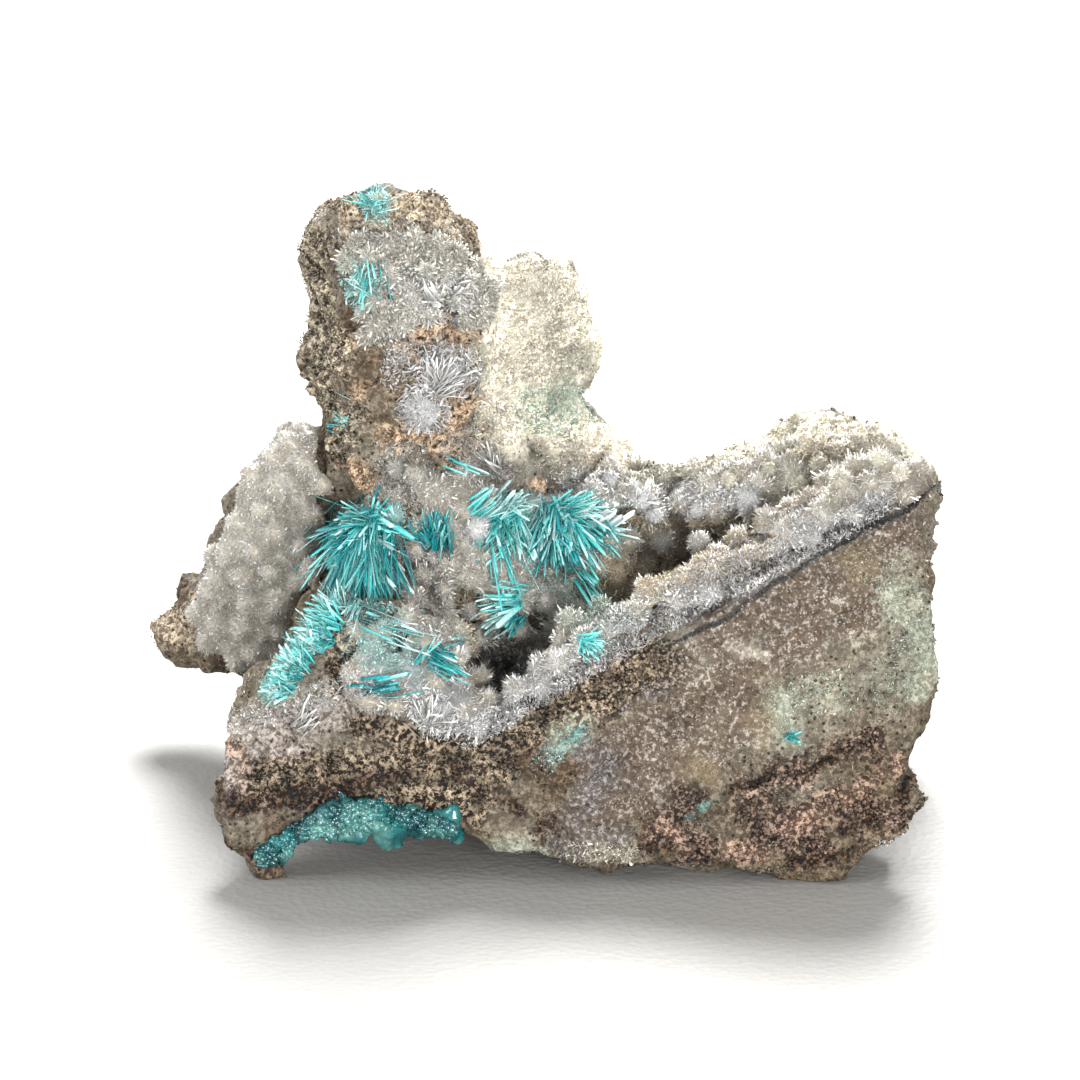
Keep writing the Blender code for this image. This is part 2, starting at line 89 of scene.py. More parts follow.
def patchy(points, width, layers, start, level, sharp):
    # ragged patches, from 0 outside to 1 inside
    return smooth(level + sharp * layeredLumps(points, width, layers, start))


def cells(points, width, start):
    # distance to the nearest scattered point, in widths, and that point's own random value
    p = points / width + start
    home = np.floor(p).astype(int)
    best = np.full(len(points), 9.0)
    value = np.zeros(len(points))
    for step in np.ndindex(3, 3, 3):
        cell = home + np.array(step) - 1
        index = latticeIndex(cell)
        away = np.linalg.norm(cell + latticePoint[index] - p, axis=-1)
        closer = away < best
        best = np.where(closer, away, best)
        value = np.where(closer, latticeValue[index], value)
    return best, value


# the photograph's view
viewSettings = {
    "target": Vector((0.1, -0.2, 21.7)),
    "away": 450.0,
    "down": 18.0,      # degrees below the level
    "pixel": 0.080,    # mm for one pixel at the target
    "frame": 1080,
    "sensor": 36.0,
    "clip": (0.01, 20),    # metres
}
viewTilt = math.radians(viewSettings["down"])
viewForward = Vector((0, math.cos(viewTilt), -math.sin(viewTilt)))
viewUp = Vector((0, math.sin(viewTilt), math.cos(viewTilt)))
viewEye = viewSettings["target"] - viewForward * viewSettings["away"]


def pixelAim(px, py):
    middle = viewSettings["frame"] / 2
    across = (px - middle) * viewSettings["pixel"]
    above = (middle - py) * viewSettings["pixel"]
    return (viewForward * viewSettings["away"] + Vector((across, 0, 0)) + viewUp * above).normalized()


def makeCamera():
    s = viewSettings
    camData = bpy.data.cameras.new("specimenCamera")
    camData.sensor_width = s["sensor"]
    camData.lens = s["sensor"] * s["away"] / (s["frame"] * s["pixel"])
    camData.clip_start, camData.clip_end = s["clip"]
    cam = bpy.data.objects.new("specimenCamera", camData)
    cam.location = viewEye * mm
    cam.rotation_euler = (math.radians(90 - s["down"]), 0, 0)
    bpy.context.scene.collection.objects.link(cam)
    bpy.context.scene.camera = cam


# light and floor
lightSettings = {
    "worldTone": (1.0, 1.0, 1.0),
    "worldStrength": (0.48, 1.25),    # from the viewer's side to the far side of the tent
    # name: place in mm, size in mm, watts
    "lamps": {
        "topSoftbox": ((60, 400, 500), 300, 14.5),
        "leftPanel": ((-520, -160, 240), 380, 3.0),
        "frontPanel": ((140, -640, 100), 420, 9.5),
    },
}


def makeLights():
    world = bpy.data.worlds.new("studioTent")
    world.use_nodes = True
    bench = NodeBench(world.node_tree)
    split = bench.add("SeparateXYZ", {"Vector": bench.add("TexCoord").outputs["Generated"]})
    strength = bench.spread(split.outputs["Y"], *lightSettings["worldStrength"], -1, 1)
    background = world.node_tree.nodes["Background"]
    bench.feed(background, {"Color": (*lightSettings["worldTone"], 1), "Strength": strength})
    bpy.context.scene.world = world
    for name, (place, size, watts) in lightSettings["lamps"].items():
        lampData = bpy.data.lights.new(name, "AREA")
        lampData.shape = "DISK"
        lampData.size = size * mm
        lampData.energy = watts
        lamp = bpy.data.objects.new(name, lampData)
        lamp.location = Vector(place) * mm
        toward = viewSettings["target"] - Vector(place)
        lamp.rotation_euler = toward.to_track_quat("-Z", "Y").to_euler()
        bpy.context.scene.collection.objects.link(lamp)
    bpy.context.scene.view_settings.view_transform = "Standard"


floorSettings = {
    "reach": 3.0, "under": 0.00002,     # metres
    "tone": (0.55, 0.543, 0.53), "rough": 0.6,
    "grain": 0.6, "bump": 0.30, "bumpHeight": 0.2,
}


def makeFloor():
    s = floorSettings
    reach = s["reach"]
    mesh = bpy.data.meshes.new("paleFloor")
    corners = [(-reach, -reach, 0), (reach, -reach, 0), (reach, reach, 0), (-reach, reach, 0)]
    mesh.from_pydata(corners, [], [(0, 1, 2, 3)])
    floor = bpy.data.objects.new("paleFloor", mesh)
    floor.location.z = -s["under"]
    bpy.context.scene.collection.objects.link(floor)
    mat, bench, shader = newFinish("paleGrain")
    grain = bench.cellular(s["grain"]).outputs["Distance"]
    bench.feed(shader, {
        "Base Color": (*tone(*s["tone"]), 1), "Roughness": s["rough"],
        "Normal": bench.bump(grain, s["bump"], s["bumpHeight"]),
    })
    mesh.materials.append(mat)


# materials
class NodeBench:
    # a node tree, with short calls for the nodes that several finishes need
    def __init__(self, tree):
        self.tree = tree

    def feed(self, node, inputs):
        # each input is linked to a socket or set to a value
        for name, value in inputs.items():
            if isinstance(value, bpy.types.NodeSocket):
                self.tree.links.new(value, node.inputs[name])
            else:
                node.inputs[name].default_value = value
        return node

    def add(self, kind, inputs=None, **settings):
        node = self.tree.nodes.new("ShaderNode" + kind)
        for name, value in settings.items():
            setattr(node, name, value)
        return self.feed(node, inputs or {})

    def painted(self, attribute, output="Fac"):
        return self.add("Attribute", attribute_name=attribute).outputs[output]

    def noise(self, size, detail, rough):
        # noise whose lumps are this wide in mm
        place = self.add("TexCoord").outputs["Object"]
        inputs = {"Vector": place, "Scale": 1 / (size * mm), "Detail": detail, "Roughness": rough}
        return self.add("TexNoise", inputs).outputs["Fac"]

    def cellular(self, size):
        place = self.add("TexCoord").outputs["Object"]
        return self.add("TexVoronoi", {"Vector": place, "Scale": 1 / (size * mm)})

    def spread(self, source, low, high, fromLow=0.3, fromHigh=0.7):
        inputs = {"Value": source, "From Min": fromLow, "From Max": fromHigh, "To Min": low, "To Max": high}
        return self.add("MapRange", inputs).outputs["Result"]

    def scaled(self, colour, factor):
        # the colour or vector times a plain factor
        return self.add("VectorMath", {0: colour, "Scale": factor}, operation="SCALE").outputs["Vector"]

    def vector(self, operation, *values):
        return self.add("VectorMath", dict(enumerate(values)), operation=operation).outputs["Vector"]

    def worked(self, operation, *values):
        return self.add("Math", dict(enumerate(values)), operation=operation).outputs["Value"]

    def bump(self, height, strength, distance):
        # relief of this height in mm
        inputs = {"Height": height, "Strength": strength, "Distance": distance * mm}
        return self.add("Bump", inputs).outputs["Normal"]


def newFinish(name):
    mat = bpy.data.materials.new(name)
    mat.use_nodes = True
    return mat, NodeBench(mat.node_tree), mat.node_tree.nodes["Principled BSDF"]


rockFinish = {
    # noises: width in mm, detail, roughness
    "speck": (0.15, 3.0, 0.7), "fleck": (0.42, 5.0, 0.72), "patch": (1.4, 3.0, 0.6),
    "speckShade": (0.66, 1.26), "patchShade": (0.80, 1.14),
    "fleckLevel": (-0.34, 0.67), "fleckEdge": (-0.03, 0.05),
    # porePaintedShade: how dark the pores' painted shade makes the colour
    "pore": 0.62, "poreShare": 0.46, "poreEdge": (-0.06, 0.08), "porePaintedShade": 0.12,
    "facet": 0.30, "tilt": 1.5, "bumpHeight": 0.16, "rough": (0.92, 0.24), "specular": 0.22,
}


def limoniteFinish():
    s = rockFinish
    mat, bench, shader = newFinish("limoniteStone")
    tint, fleck = (bench.painted(name, "Color") for name in ("tint", "fleck"))
    share, glint, porous = (bench.painted(name) for name in ("share", "glint", "porous"))
    speck, mottle, patch = (bench.noise(*s[name]) for name in ("speck", "fleck", "patch"))
    # flecks of the zone's second tone, as wide as its share
    level = bench.worked("MULTIPLY_ADD", share, *s["fleckLevel"])
    mask = bench.spread(bench.worked("SUBTRACT", mottle, level), 0.0, 1.0, *s["fleckEdge"])
    mixed = bench.add("Mix", {"Factor": mask, "A": tint, "B": fleck}, data_type="RGBA")
    colour = bench.scaled(mixed.outputs["Result"], bench.spread(speck, *s["speckShade"]))
    colour = bench.scaled(colour, bench.spread(patch, *s["patchShade"]))
    # painted shade in the pores: their colour is darkened, as wide as the ground is porous
    hole = bench.cellular(s["pore"]).outputs["Distance"]
    inside = bench.worked("SUBTRACT", hole, bench.worked("MULTIPLY", porous, s["poreShare"]))
    pore = bench.spread(inside, s["porePaintedShade"], 1.0, *s["poreEdge"])
    # crystalline ground: small facets that tilt each its own way and catch the light
    tilt = bench.vector("SUBTRACT", bench.cellular(s["facet"]).outputs["Color"], (0.5, 0.5, 0.5))
    tilted = bench.scaled(tilt, bench.worked("MULTIPLY", glint, s["tilt"]))
    relief = bench.bump(bench.worked("MULTIPLY", mottle, pore), 1.0, s["bumpHeight"])
    bench.feed(shader, {
        # the base colour carries the pores' painted shade
        "Base Color": bench.scaled(colour, pore),
        "Normal": bench.vector("NORMALIZE", bench.vector("ADD", relief, tilted)),
        "Roughness": bench.spread(glint, *s["rough"], 0.0, 1.0),
        "Specular IOR Level": s["specular"],
    })
    return mat


grainLook = {
    "speck": (0.16, 3.0, 0.7), "shade": (0.72, 1.2), "roughSpan": 0.12, "specular": 0.25,
    "bump": 0.5, "bumpHeight": 0.05,
}


def grainFinish(name, rough):
    # loose grains carry their own tints, a little mottled
    s = grainLook
    mat, bench, shader = newFinish(name)
    speck = bench.noise(*s["speck"])
    bench.feed(shader, {
        "Base Color": bench.scaled(bench.painted("tint", "Color"), bench.spread(speck, *s["shade"])),
        "Roughness": bench.spread(speck, rough - s["roughSpan"], rough + s["roughSpan"]),
        "Specular IOR Level": s["specular"],
        "Normal": bench.bump(speck, s["bump"], s["bumpHeight"]),
    })
    return mat


clearLook = {
    "streak": (0.12, 2.0, 0.5), "shade": (0.88, 1.06), "roughShare": (0.6, 1.6),
    "bump": 0.25, "bumpHeight": 0.03,
}


def clearFinish(name, through, rough, ior=1.61):
    # glassy crystal: tinted by its own attribute, finely streaked along its faces
    s = clearLook
    smoothest, roughest = (rough * share for share in s["roughShare"])
    mat, bench, shader = newFinish(name)
    streak = bench.noise(*s["streak"])
    bench.feed(shader, {
        "Base Color": bench.scaled(bench.painted("tint", "Color"), bench.spread(streak, *s["shade"])),
        "Roughness": bench.spread(streak, smoothest, roughest),
        "Transmission Weight": through,
        "IOR": ior,
        "Normal": bench.bump(streak, s["bump"], s["bumpHeight"]),
    })
    return mat


# meshes from arrays
def newPiece(name, points, faces, tints, mat, slot, replaced=()):
    mesh = bpy.data.meshes.new(name)
    mesh.vertices.add(len(points))
    mesh.vertices.foreach_set("co", (np.asarray(points) * mm).astype(np.float32).ravel())
    faces = np.asarray(faces)
    mesh.loops.add(faces.size)
    mesh.loops.foreach_set("vertex_index", faces.ravel().astype(np.int32))
    mesh.polygons.add(len(faces))
    mesh.polygons.foreach_set("loop_start", np.arange(0, faces.size, faces.shape[1], dtype=np.int32))
    mesh.update(calc_edges=True)
    piece = bpy.data.objects.new(name, mesh)
    bpy.context.scene.collection.objects.link(piece)
    dress(piece, tints, mat, replaced)
    return piece


def dress(piece, tints, mat, replaced=(), extra=None):
    paint(piece.data, "tint", tints)
    for name, values in (extra or {}).items():
        if values.ndim == 2:
            paint(piece.data, name, values)
        else:
            attribute = piece.data.attributes.new(name, "FLOAT", "POINT")
            attribute.data.foreach_set("value", values.astype(np.float32))
    piece.data.materials.clear()
    piece.data.materials.append(mat)
    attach(piece, "root")
    if replaced:
        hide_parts(*replaced)
    piece.data.calc_loop_triangles()
    print(piece.name, len(piece.data.loop_triangles), "triangles")


def paint(mesh, name, tints):
    layer = mesh.color_attributes.new(name, "FLOAT_COLOR", "POINT")
    rgba = np.ones((len(tints), 4), np.float32)
    rgba[:, :3] = tints
    layer.data.foreach_set("color", rgba.ravel())


def pointsOf(mesh):
    points = np.empty(len(mesh.vertices) * 3, np.float32)
    mesh.vertices.foreach_get("co", points)
    return points.reshape(-1, 3).astype(float) / mm


def normalsOf(mesh):
    normals = np.empty(len(mesh.vertices) * 3, np.float32)
    mesh.vertices.foreach_get("normal", normals)
    return normals.reshape(-1, 3).astype(float)


def movePoints(mesh, points):
    mesh.vertices.foreach_set("co", (points * mm).astype(np.float32).ravel())
    mesh.update()


def trianglesOf(mesh):
    mesh.calc_loop_triangles()
    corners = np.empty(len(mesh.loop_triangles) * 3, np.int32)
    mesh.loop_triangles.foreach_get("vertices", corners)
    return corners.reshape(-1, 3)


def fineCopy(name, nodeName, voxel, smoothing):
    # the solid's own form with an even, fine skin
    piece = bpy.data.objects.new(name, cadNodes[nodeName].data.copy())
    bpy.context.scene.collection.objects.link(piece)
    even = piece.modifiers.new("Even", "REMESH")
    even.mode = "VOXEL"
    even.voxel_size = voxel * mm
    soft = piece.modifiers.new("Soft", "SMOOTH")
    soft.factor = 0.5
    soft.iterations = smoothing
    graph = bpy.context.evaluated_depsgraph_get()
    mesh = bpy.data.meshes.new_from_object(piece.evaluated_get(graph))
    piece.modifiers.clear()
    piece.data = mesh
    mesh.shade_smooth()
    return piece


def treeOf(names):
    points, faces, first = [], [], 0
    for name in names:
        mesh = cadNodes[name].data
        points += [vertex.co / mm for vertex in mesh.vertices]
        faces += [[first + i for i in face.vertices] for face in mesh.polygons]
        first = len(points)
    return BVHTree.FromPolygons(points, faces)


crustNames = ["hollow_crust", "lobe_crust", "column_crust", "under_crust"]
groundTree = treeOf(["matrix"] + crustNames)
rockTree = treeOf(["matrix"])
crustTree = treeOf(crustNames)


def seenPath(pixels, step):
    # where a line of the photograph's pixels meets the specimen, in mm, every few pixels
    found = []
    for (x0, y0), (x1, y1) in zip(pixels, pixels[1:] or pixels):
        count = max(1, round(math.hypot(x1 - x0, y1 - y0) / step))
        for i in range(count + 1):
            aim = pixelAim(x0 + (x1 - x0) * i / count, y0 + (y1 - y0) * i / count)
            hit = groundTree.ray_cast(viewEye, aim)[0]
            if hit is not None:
                found.append(tuple(hit))
    return np.array(found)


# lumps are always given as width in mm, layers, start
zoneEdge = {"ragged": 0.7, "lumps": (2.6, 4, 31.0), "reach": 1.25, "soft": 0.85, "leastStep": 5.0, "step": 6}


def near(points, spots):
    # how much each point belongs to a zone: 1 well inside its spots, 0 outside, with a ragged edge
    s = zoneEdge
    best = np.zeros(len(points))
    edge = s["ragged"] * layeredLumps(points, *s["lumps"])
    for radius, pixels in spots:
        for centre in seenPath(pixels, max(s["leastStep"], radius * s["step"])):
            away = np.linalg.norm(points - centre, axis=1) / radius
            best = np.maximum(best, smooth((s["reach"] + edge - away) / s["soft"]))
    return best


veinPath = [
    (657, 652), (686, 637), (705, 627), (728, 619), (741, 606), (762, 592), (775, 581), (792, 575),
    (808, 560), (829, 549), (850, 539), (859, 531), (880, 522), (905, 512), (920, 499), (938, 484),
]
# The rock's zones. Each has its tone and the tone of its flecks, how many flecks, how porous and how
# sparkling it is, and its spots: a radius in mm and the pixels that a streak of it runs through.
rockZones = {
    "cream": ((0.88, 0.84, 0.75), (0.97, 0.95, 0.90), 0.45, 0.20, 0.4, [
        (3.2, [(500, 275), (560, 265)]), (2.2, [(505, 300), (497, 380), (510, 440)]),
        (3.4, [(510, 320), (580, 310)]), (3.2, [(520, 370), (585, 350)]), (2.6, [(530, 420), (585, 425)]),
        (2.2, [(600, 450), (700, 465), (800, 430), (880, 430), (925, 465)]),
        (2.0, [(620, 450), (760, 455)]), (2.4, [(560, 440), (545, 400)]),
    ]),
    "husk": ((0.43, 0.40, 0.34), (0.62, 0.60, 0.53), 0.52, 0.45, 0.4, [
        (2.0, [(900, 560), (925, 640), (900, 700)]), (2.2, [(880, 600), (860, 660), (820, 700)]),
        (1.2, [(470, 850), (560, 848), (640, 855)]), (1.6, [(790, 720), (750, 740)]),
    ]),
    "plate": ((0.34, 0.29, 0.24), (0.61, 0.58, 0.55), 0.34, 0.05, 0.75, [
        (2.6, [(640, 740), (720, 690), (800, 640)]), (2.4, [(700, 760), (760, 700)]),
        (2.2, [(780, 600), (850, 570), (900, 530)]), (2.2, [(720, 640), (800, 590)]),
        (2.0, [(600, 700), (680, 660)]), (2.0, [(600, 820), (640, 790)]), (2.0, [(850, 620), (870, 560)]),
    ]),
    "silver": ((0.32, 0.29, 0.27), (0.54, 0.53, 0.52), 0.40, 0.10, 0.85, [
        (2.0, [(560, 760), (620, 720)]), (2.2, [(575, 810), (610, 770)]), (1.8, [(560, 850), (620, 840)]),
        (1.3, [(455, 745), (520, 715), (600, 672), (700, 612), (800, 560), (900, 505)]),
        (1.6, [(380, 240), (470, 270)]), (1.2, [(650, 690), (700, 660)]), (1.6, [(470, 420), (500, 470)]),
        (1.3, [(400, 330), (460, 360)]),
    ]),
    "ledge": ((0.43, 0.39, 0.36), (0.66, 0.63, 0.60), 0.52, 0.40, 0.75, [
        (2.0, [(225, 742), (300, 722), (365, 708)]), (1.7, [(222, 775), (265, 758), (300, 745)]),
    ]),
    "iron": ((0.13, 0.08, 0.06), (0.63, 0.53, 0.47), 0.46, 0.55, 0.35, [
        (2.2, [(760, 790), (820, 760), (890, 745)]), (2.4, [(700, 850), (760, 830), (860, 820)]),
        (2.0, [(820, 860), (900, 830)]), (1.4, [(660, 830), (690, 800)]), (1.5, [(240, 800), (330, 790)]),
    ]),
    "pink": ((0.32, 0.24, 0.20), (0.71, 0.60, 0.52), 0.45, 0.35, 0.4, [
        (0.9, [(740, 775), (760, 800)]), (0.8, [(665, 825), (680, 840)]), (1.2, [(790, 830), (840, 800)]),
        (0.9, [(860, 790), (900, 760)]), (0.9, [(225, 740), (240, 770)]), (0.8, [(720, 850), (760, 855)]),
        (0.8, [(640, 545), (660, 560)]),
    ]),
    "brown": ((0.12, 0.09, 0.07), (0.65, 0.58, 0.49), 0.50, 0.6, 0.3, [
        (2.0, [(460, 760), (540, 722), (610, 690), (660, 655)]),
        (1.7, [(360, 725), (440, 745), (500, 765)]), (1.9, [(270, 775), (380, 762), (470, 795)]),
        (1.2, [(332, 600), (345, 640), (335, 690)]), (1.5, [(640, 555), (700, 572), (760, 550)]),
        (1.5, [(420, 820), (470, 810)]), (1.4, [(350, 800), (420, 800)]),
    ]),
    "dark": ((0.09, 0.07, 0.05), (0.42, 0.33, 0.26), 0.42, 0.5, 0.3, [
        (0.9, [(222, 810), (300, 795)]), (0.8, [(330, 790), (400, 776)]), (0.9, [(545, 815), (550, 850)]),
        (0.8, [(215, 780), (220, 825)]), (0.6, [(730, 790), (770, 775)]), (0.6, [(810, 770), (860, 745)]),
        (0.8, [(790, 865), (850, 855)]), (0.8, [(450, 765), (480, 800)]), (0.9, [(770, 480), (790, 495)]),
        (0.8, [(410, 322), (425, 330)]), (0.7, [(500, 790), (520, 810)]), (0.6, [(640, 850), (680, 850)]),
        (0.6, [(900, 800), (915, 770)]), (0.6, [(840, 830), (870, 820)]), (1.0, [(225, 845), (262, 866)]),
    ]),
    "olive": ((0.42, 0.37, 0.29), (0.57, 0.53, 0.46), 0.3, 0.05, 0.7, [
        (2.4, [(765, 690), (740, 730)]), (1.8, [(700, 765)]), (1.8, [(860, 565)]),
    ]),
    "orange": ((0.47, 0.37, 0.28), (0.80, 0.70, 0.59), 0.60, 0.75, 0.15, [
        (1.4, [(365, 400), (382, 435)]), (1.3, [(345, 460), (360, 478)]), (1.4, [(430, 475), (455, 487)]),
        (1.3, [(445, 320), (470, 330)]), (1.1, [(410, 350), (425, 365)]), (0.8, [(375, 362)]),
        (1.7, [(380, 345), (445, 340)]), (1.9, [(400, 445), (470, 405)]), (1.6, [(440, 460), (480, 440)]),
        (1.3, [(535, 490), (560, 495)]), (0.8, [(600, 462)]), (1.2, [(375, 330), (350, 350)]),
    ]),
    "khaki": ((0.35, 0.31, 0.26), (0.78, 0.73, 0.64), 0.55, 0.85, 0.15, [
        (2.6, [(325, 310), (330, 400)]), (2.2, [(315, 250), (315, 290)]), (1.8, [(350, 420), (340, 450)]),
        (1.3, [(343, 612), (350, 650)]), (1.2, [(660, 560), (740, 560)]),
    ]),
    "tan": ((0.44, 0.38, 0.31), (0.77, 0.71, 0.62), 0.55, 0.5, 0.35, [
        (2.4, [(325, 205), (380, 215), (450, 220)]), (1.6, [(455, 235), (480, 235)]),
        (1.6, [(170, 640), (230, 650)]), (1.8, [(160, 625), (200, 600)]),
    ]),
    "chalk": ((0.62, 0.58, 0.52), (0.78, 0.75, 0.70), 0.5, 0.1, 0.5, [
        (0.7, [(742, 650), (764, 655)]), (0.4, [(730, 645)]),
    ]),
    "slate": ((0.08, 0.08, 0.09), (0.28, 0.28, 0.30), 0.22, 0.2, 0.5, [
        (0.20, veinPath[:6]), (0.30, veinPath[5:]),
    ]),
    "mint": ((0.46, 0.465, 0.40), (0.63, 0.64, 0.58), 0.50, 0.2, 0.4, [
        (1.6, [(580, 370), (565, 395)]), (1.5, [(900, 590), (925, 640)]), (1.4, [(780, 700), (795, 738)]),
        (1.1, [(560, 740), (585, 728)]), (1.0, [(480, 850), (540, 852)]), (1.4, [(935, 655), (920, 690)]),
    ]),
    "teal": ((0.30, 0.49, 0.46), (0.56, 0.63, 0.60), 0.45, 0.1, 0.6, [
        (0.35, [(550, 757), (583, 730)]), (0.5, [(795, 738)]), (0.5, [(590, 642), (600, 636)]),
        (0.4, [(690, 815), (705, 805)]), (1.5, [(310, 630), (270, 690)]), (0.8, [(365, 645)]),
    ]),
}
# the ground of the sides that the photograph doesn't show: beige, tan and rusty patches
groundTones = {
    "beige": ((0.40, 0.37, 0.32), (0.50, 0.48, 0.43)),
    "tan": ((0.30, 0.25, 0.19), (0.46, 0.41, 0.34)),
    "rust": ((0.20, 0.14, 0.10), (0.38, 0.31, 0.24)),
    "pale": ((0.48, 0.46, 0.41), (0.54, 0.53, 0.50)),
}
groundMix = {
    "look": (0.48, 0.40, 0.25),              # share of flecks, porosity, sparkle
    # patches: lumps, then level and sharpness
    "tan": (9.0, 4, 3.0, 0.5, 1.2),
    "rust": (5.0, 4, 57.0, -0.5, 2.4), "rustCover": 0.8,
    "paleAbove": 22, "paleRise": 10, "paleRightOf": -8, "paleSide": 8, "paleCover": 0.8,    # mm
    "paleWaver": (6.0, 12.0),
}
stainMix = {
    "mottle": 0.22, "mottleLumps": (2.2, 3, 77.0),
    "patch": (1.5, 4, 91.0, -0.2, 3.4), "flat": (1, 1, 1.7),
    "zones": {"iron": 1, "brown": 0.8, "khaki": 0.5, "tan": 0.4},
    "dark": 0.85, "fleckDark": 0.66,
}
# zones that come in shreds of this width
brokenZones = {
    "dark": 1.3, "pink": 1.1, "orange": 1.6, "mint": 1.8, "iron": 3.0, "olive": 2.6, "husk": 3.0, "teal": 0.9,
    "silver": 2.4,
}
shredForm = (0.72, 1.5)    # level and sharpness


def zonesAt(points):
    zones = {name: near(points, zone[5]) for name, zone in rockZones.items()}
    for name, width in brokenZones.items():
        zones[name] *= patchy(points, width, 3, 3.0 + 5 * width, *shredForm)
    return zones


def together(zones, weights, most=1.0):
    # how much each point belongs to any of several zones
    return np.clip(sum(weight * zones[name] for name, weight in weights.items()), 0, most)


def over(values, share, other):
    return values * (1 - share[:, None]) + other * share[:, None]


def blended(points, zones):
    # each point's tone, fleck tone, share of flecks, porosity and sparkle
    s = groundMix
    plain = {name: np.concatenate([tone(*a), tone(*b), s["look"]]) for name, (a, b) in groundTones.items()}
    values = np.tile(plain["beige"], (len(points), 1))
    values = over(values, patchy(points, *s["tan"]), plain["tan"])
    values = over(values, s["rustCover"] * patchy(points, *s["rust"]), plain["rust"])
    high = smooth((points[:, 2] - s["paleAbove"]) / s["paleRise"] + lumps(points, *s["paleWaver"]))
    high = high * smooth((points[:, 0] - s["paleRightOf"]) / s["paleSide"])
    values = over(values, s["paleCover"] * high, plain["pale"])
    for name, (first, second, *look, _) in rockZones.items():
        values = over(values, zones[name], np.concatenate([tone(*first), tone(*second), look]))
    # broad mottling, and dark stains in the iron-rich zones
    s = stainMix
    values[:, :6] *= (1 + s["mottle"] * layeredLumps(points, *s["mottleLumps"]))[:, None]
    stained = patchy(points * s["flat"], *s["patch"]) * together(zones, s["zones"])
    values[:, :3] *= (1 - s["dark"] * stained)[:, None]
    values[:, 3:6] *= (1 - s["fleckDark"] * stained)[:, None]
    return values


rockShape = {
    "voxel": 0.435, "smoothing": 1,
    # heights in mm, and lumps
    "ledge": (0.42, (3.0, 3, 9.0)),    # broad ledges
    "grit": (0.16, (0.9, 2, 17.0)),    # fine roughness
    "layer": (0.35, (1.5, 3.0)),       # the foot's layers, by their thickness
    "layerSquash": (0.25, 0.25, 1.0), "layerWave": (0.6, (4.0, 1.0)),
    "layered": {"brown": 1, "dark": 1, "iron": 1},
    # the lumps of the pale, fuzzy shoulder: height, width, reach, level, how much they vary
    "fuzz": (0.55, 1.5, 1.1, 0.5, 0.3),
    # pits: width and depth, how far they reach, how much that varies, and how soft their walls are
    "pits": ((1.15, 0.85), (0.8, 0.35)), "pitReach": 0.50, "pitWaver": 0.12, "pitWall": 0.22,
    # how much painted shade darkens the pits' colour
    "pitPaintedShade": 0.55,
    # smoother ground, and how much of the grit it loses
    "calm": {"plate": 0.8, "silver": 0.6, "slate": 0.5}, "calmMost": 0.85, "gritLost": 0.6,
    "flatBelow": 0.35,        # the broken facets that it stands on stay flat
}


def makeRock():
    s = rockShape
    rock = fineCopy("limoniteMatrix", "matrix", s["voxel"], s["smoothing"])
    mesh = rock.data
    points, normals = pointsOf(mesh), normalsOf(mesh)
    zones = zonesAt(points)
    looks = blended(points, zones)
    porous = looks[:, 7]
    calm = together(zones, s["calm"], s["calmMost"])
    high, lumpy = s["ledge"]
    shift = high * layeredLumps(points, *lumpy) * (1 - calm)
    high, lumpy = s["grit"]
    shift += high * layeredLumps(points, *lumpy) * (1 - s["gritLost"] * calm)
    high, width, reach, level, waver = s["fuzz"]
    away, kind = cells(points, width, 11.0)
    shift += high * zones["cream"] * (smooth(reach - away) - level + waver * kind)
    pits = np.zeros(len(points))
    for width, deep in s["pits"]:
        away, kind = cells(points, width, 4.0)
        pit = smooth((s["pitReach"] - away + s["pitWaver"] * kind) / s["pitWall"])
        shift -= pit * deep * porous
        pits = np.maximum(pits, pit)
    wave, lumpy = s["layerWave"]
    bands = points * s["layerSquash"] + wave * lumps(points, *lumpy)[:, None]
    high, lumpy = s["layer"]
    shift += high * together(zones, s["layered"]) * lumps(bands, *lumpy)
    shift[points[:, 2] < s["flatBelow"]] = 0
    points = points + normals * shift[:, None]
    points[:, 2] = np.maximum(points[:, 2], 0)
    movePoints(mesh, points)
    # painted shade: the colour is darkened inside the pits
    looks[:, :6] *= (1 - s["pitPaintedShade"] * pits * porous)[:, None]
    tones, flecks = looks[:, :3], looks[:, 3:6]
    extra = {"fleck": flecks, "share": looks[:, 6], "porous": porous, "glint": looks[:, 8]}
    dress(rock, tones, limoniteFinish(), ["matrix"], extra)
    return rock, {"zones": zones, "tones": tones, "flecks": flecks, "open": openRock(points)}


openAir = {"above": 0.6, "fromCrust": 1.2}    # mm


def openRock(points):
    # 1 in open air, 0 under a crust or at the foot, where nothing loose would show
    shown = (points[:, 2] > openAir["above"]).astype(float)
    for i in np.flatnonzero(shown):
        if crustTree.find_nearest(Vector(points[i]), openAir["fromCrust"])[0] is not None:
            shown[i] = 0.0
    return shown


# scatter
def scatterOn(mesh, wanted, count, seed):
    # random places on the mesh, thick where the points' wanted value is high;
    # returns places, face normals and a function that reads any point values there
    rng = np.random.default_rng(seed)
    points, triangles = pointsOf(mesh), trianglesOf(mesh)
    a, b, c = (points[triangles[:, i]] for i in range(3))
    cross = np.cross(b - a, c - a)
    weight = np.linalg.norm(cross, axis=1) * wanted[triangles].mean(axis=1)
    chosen = rng.choice(len(triangles), count, p=weight / weight.sum())
    u, v = rng.uniform(0, 1, (2, count))
    flip = u + v > 1
    u, v = np.where(flip, 1 - u, u)[:, None], np.where(flip, 1 - v, v)[:, None]
    shares = np.stack([1 - u - v, u, v], axis=1)

    def readThere(values):
        values = values.reshape(len(values), -1)
        return (values[triangles[chosen]] * shares).sum(axis=1)

    return readThere(points), unit(cross)[chosen], readThere


def sideways(aims, rng):
    # a random direction square to each aim
    other = unit(np.cross(aims, rng.normal(size=aims.shape)))
    return other, np.cross(aims, other)


leanSpan = (0.2, 1.0)
leastRise = 0.25    # of a crystal's length, over the ground


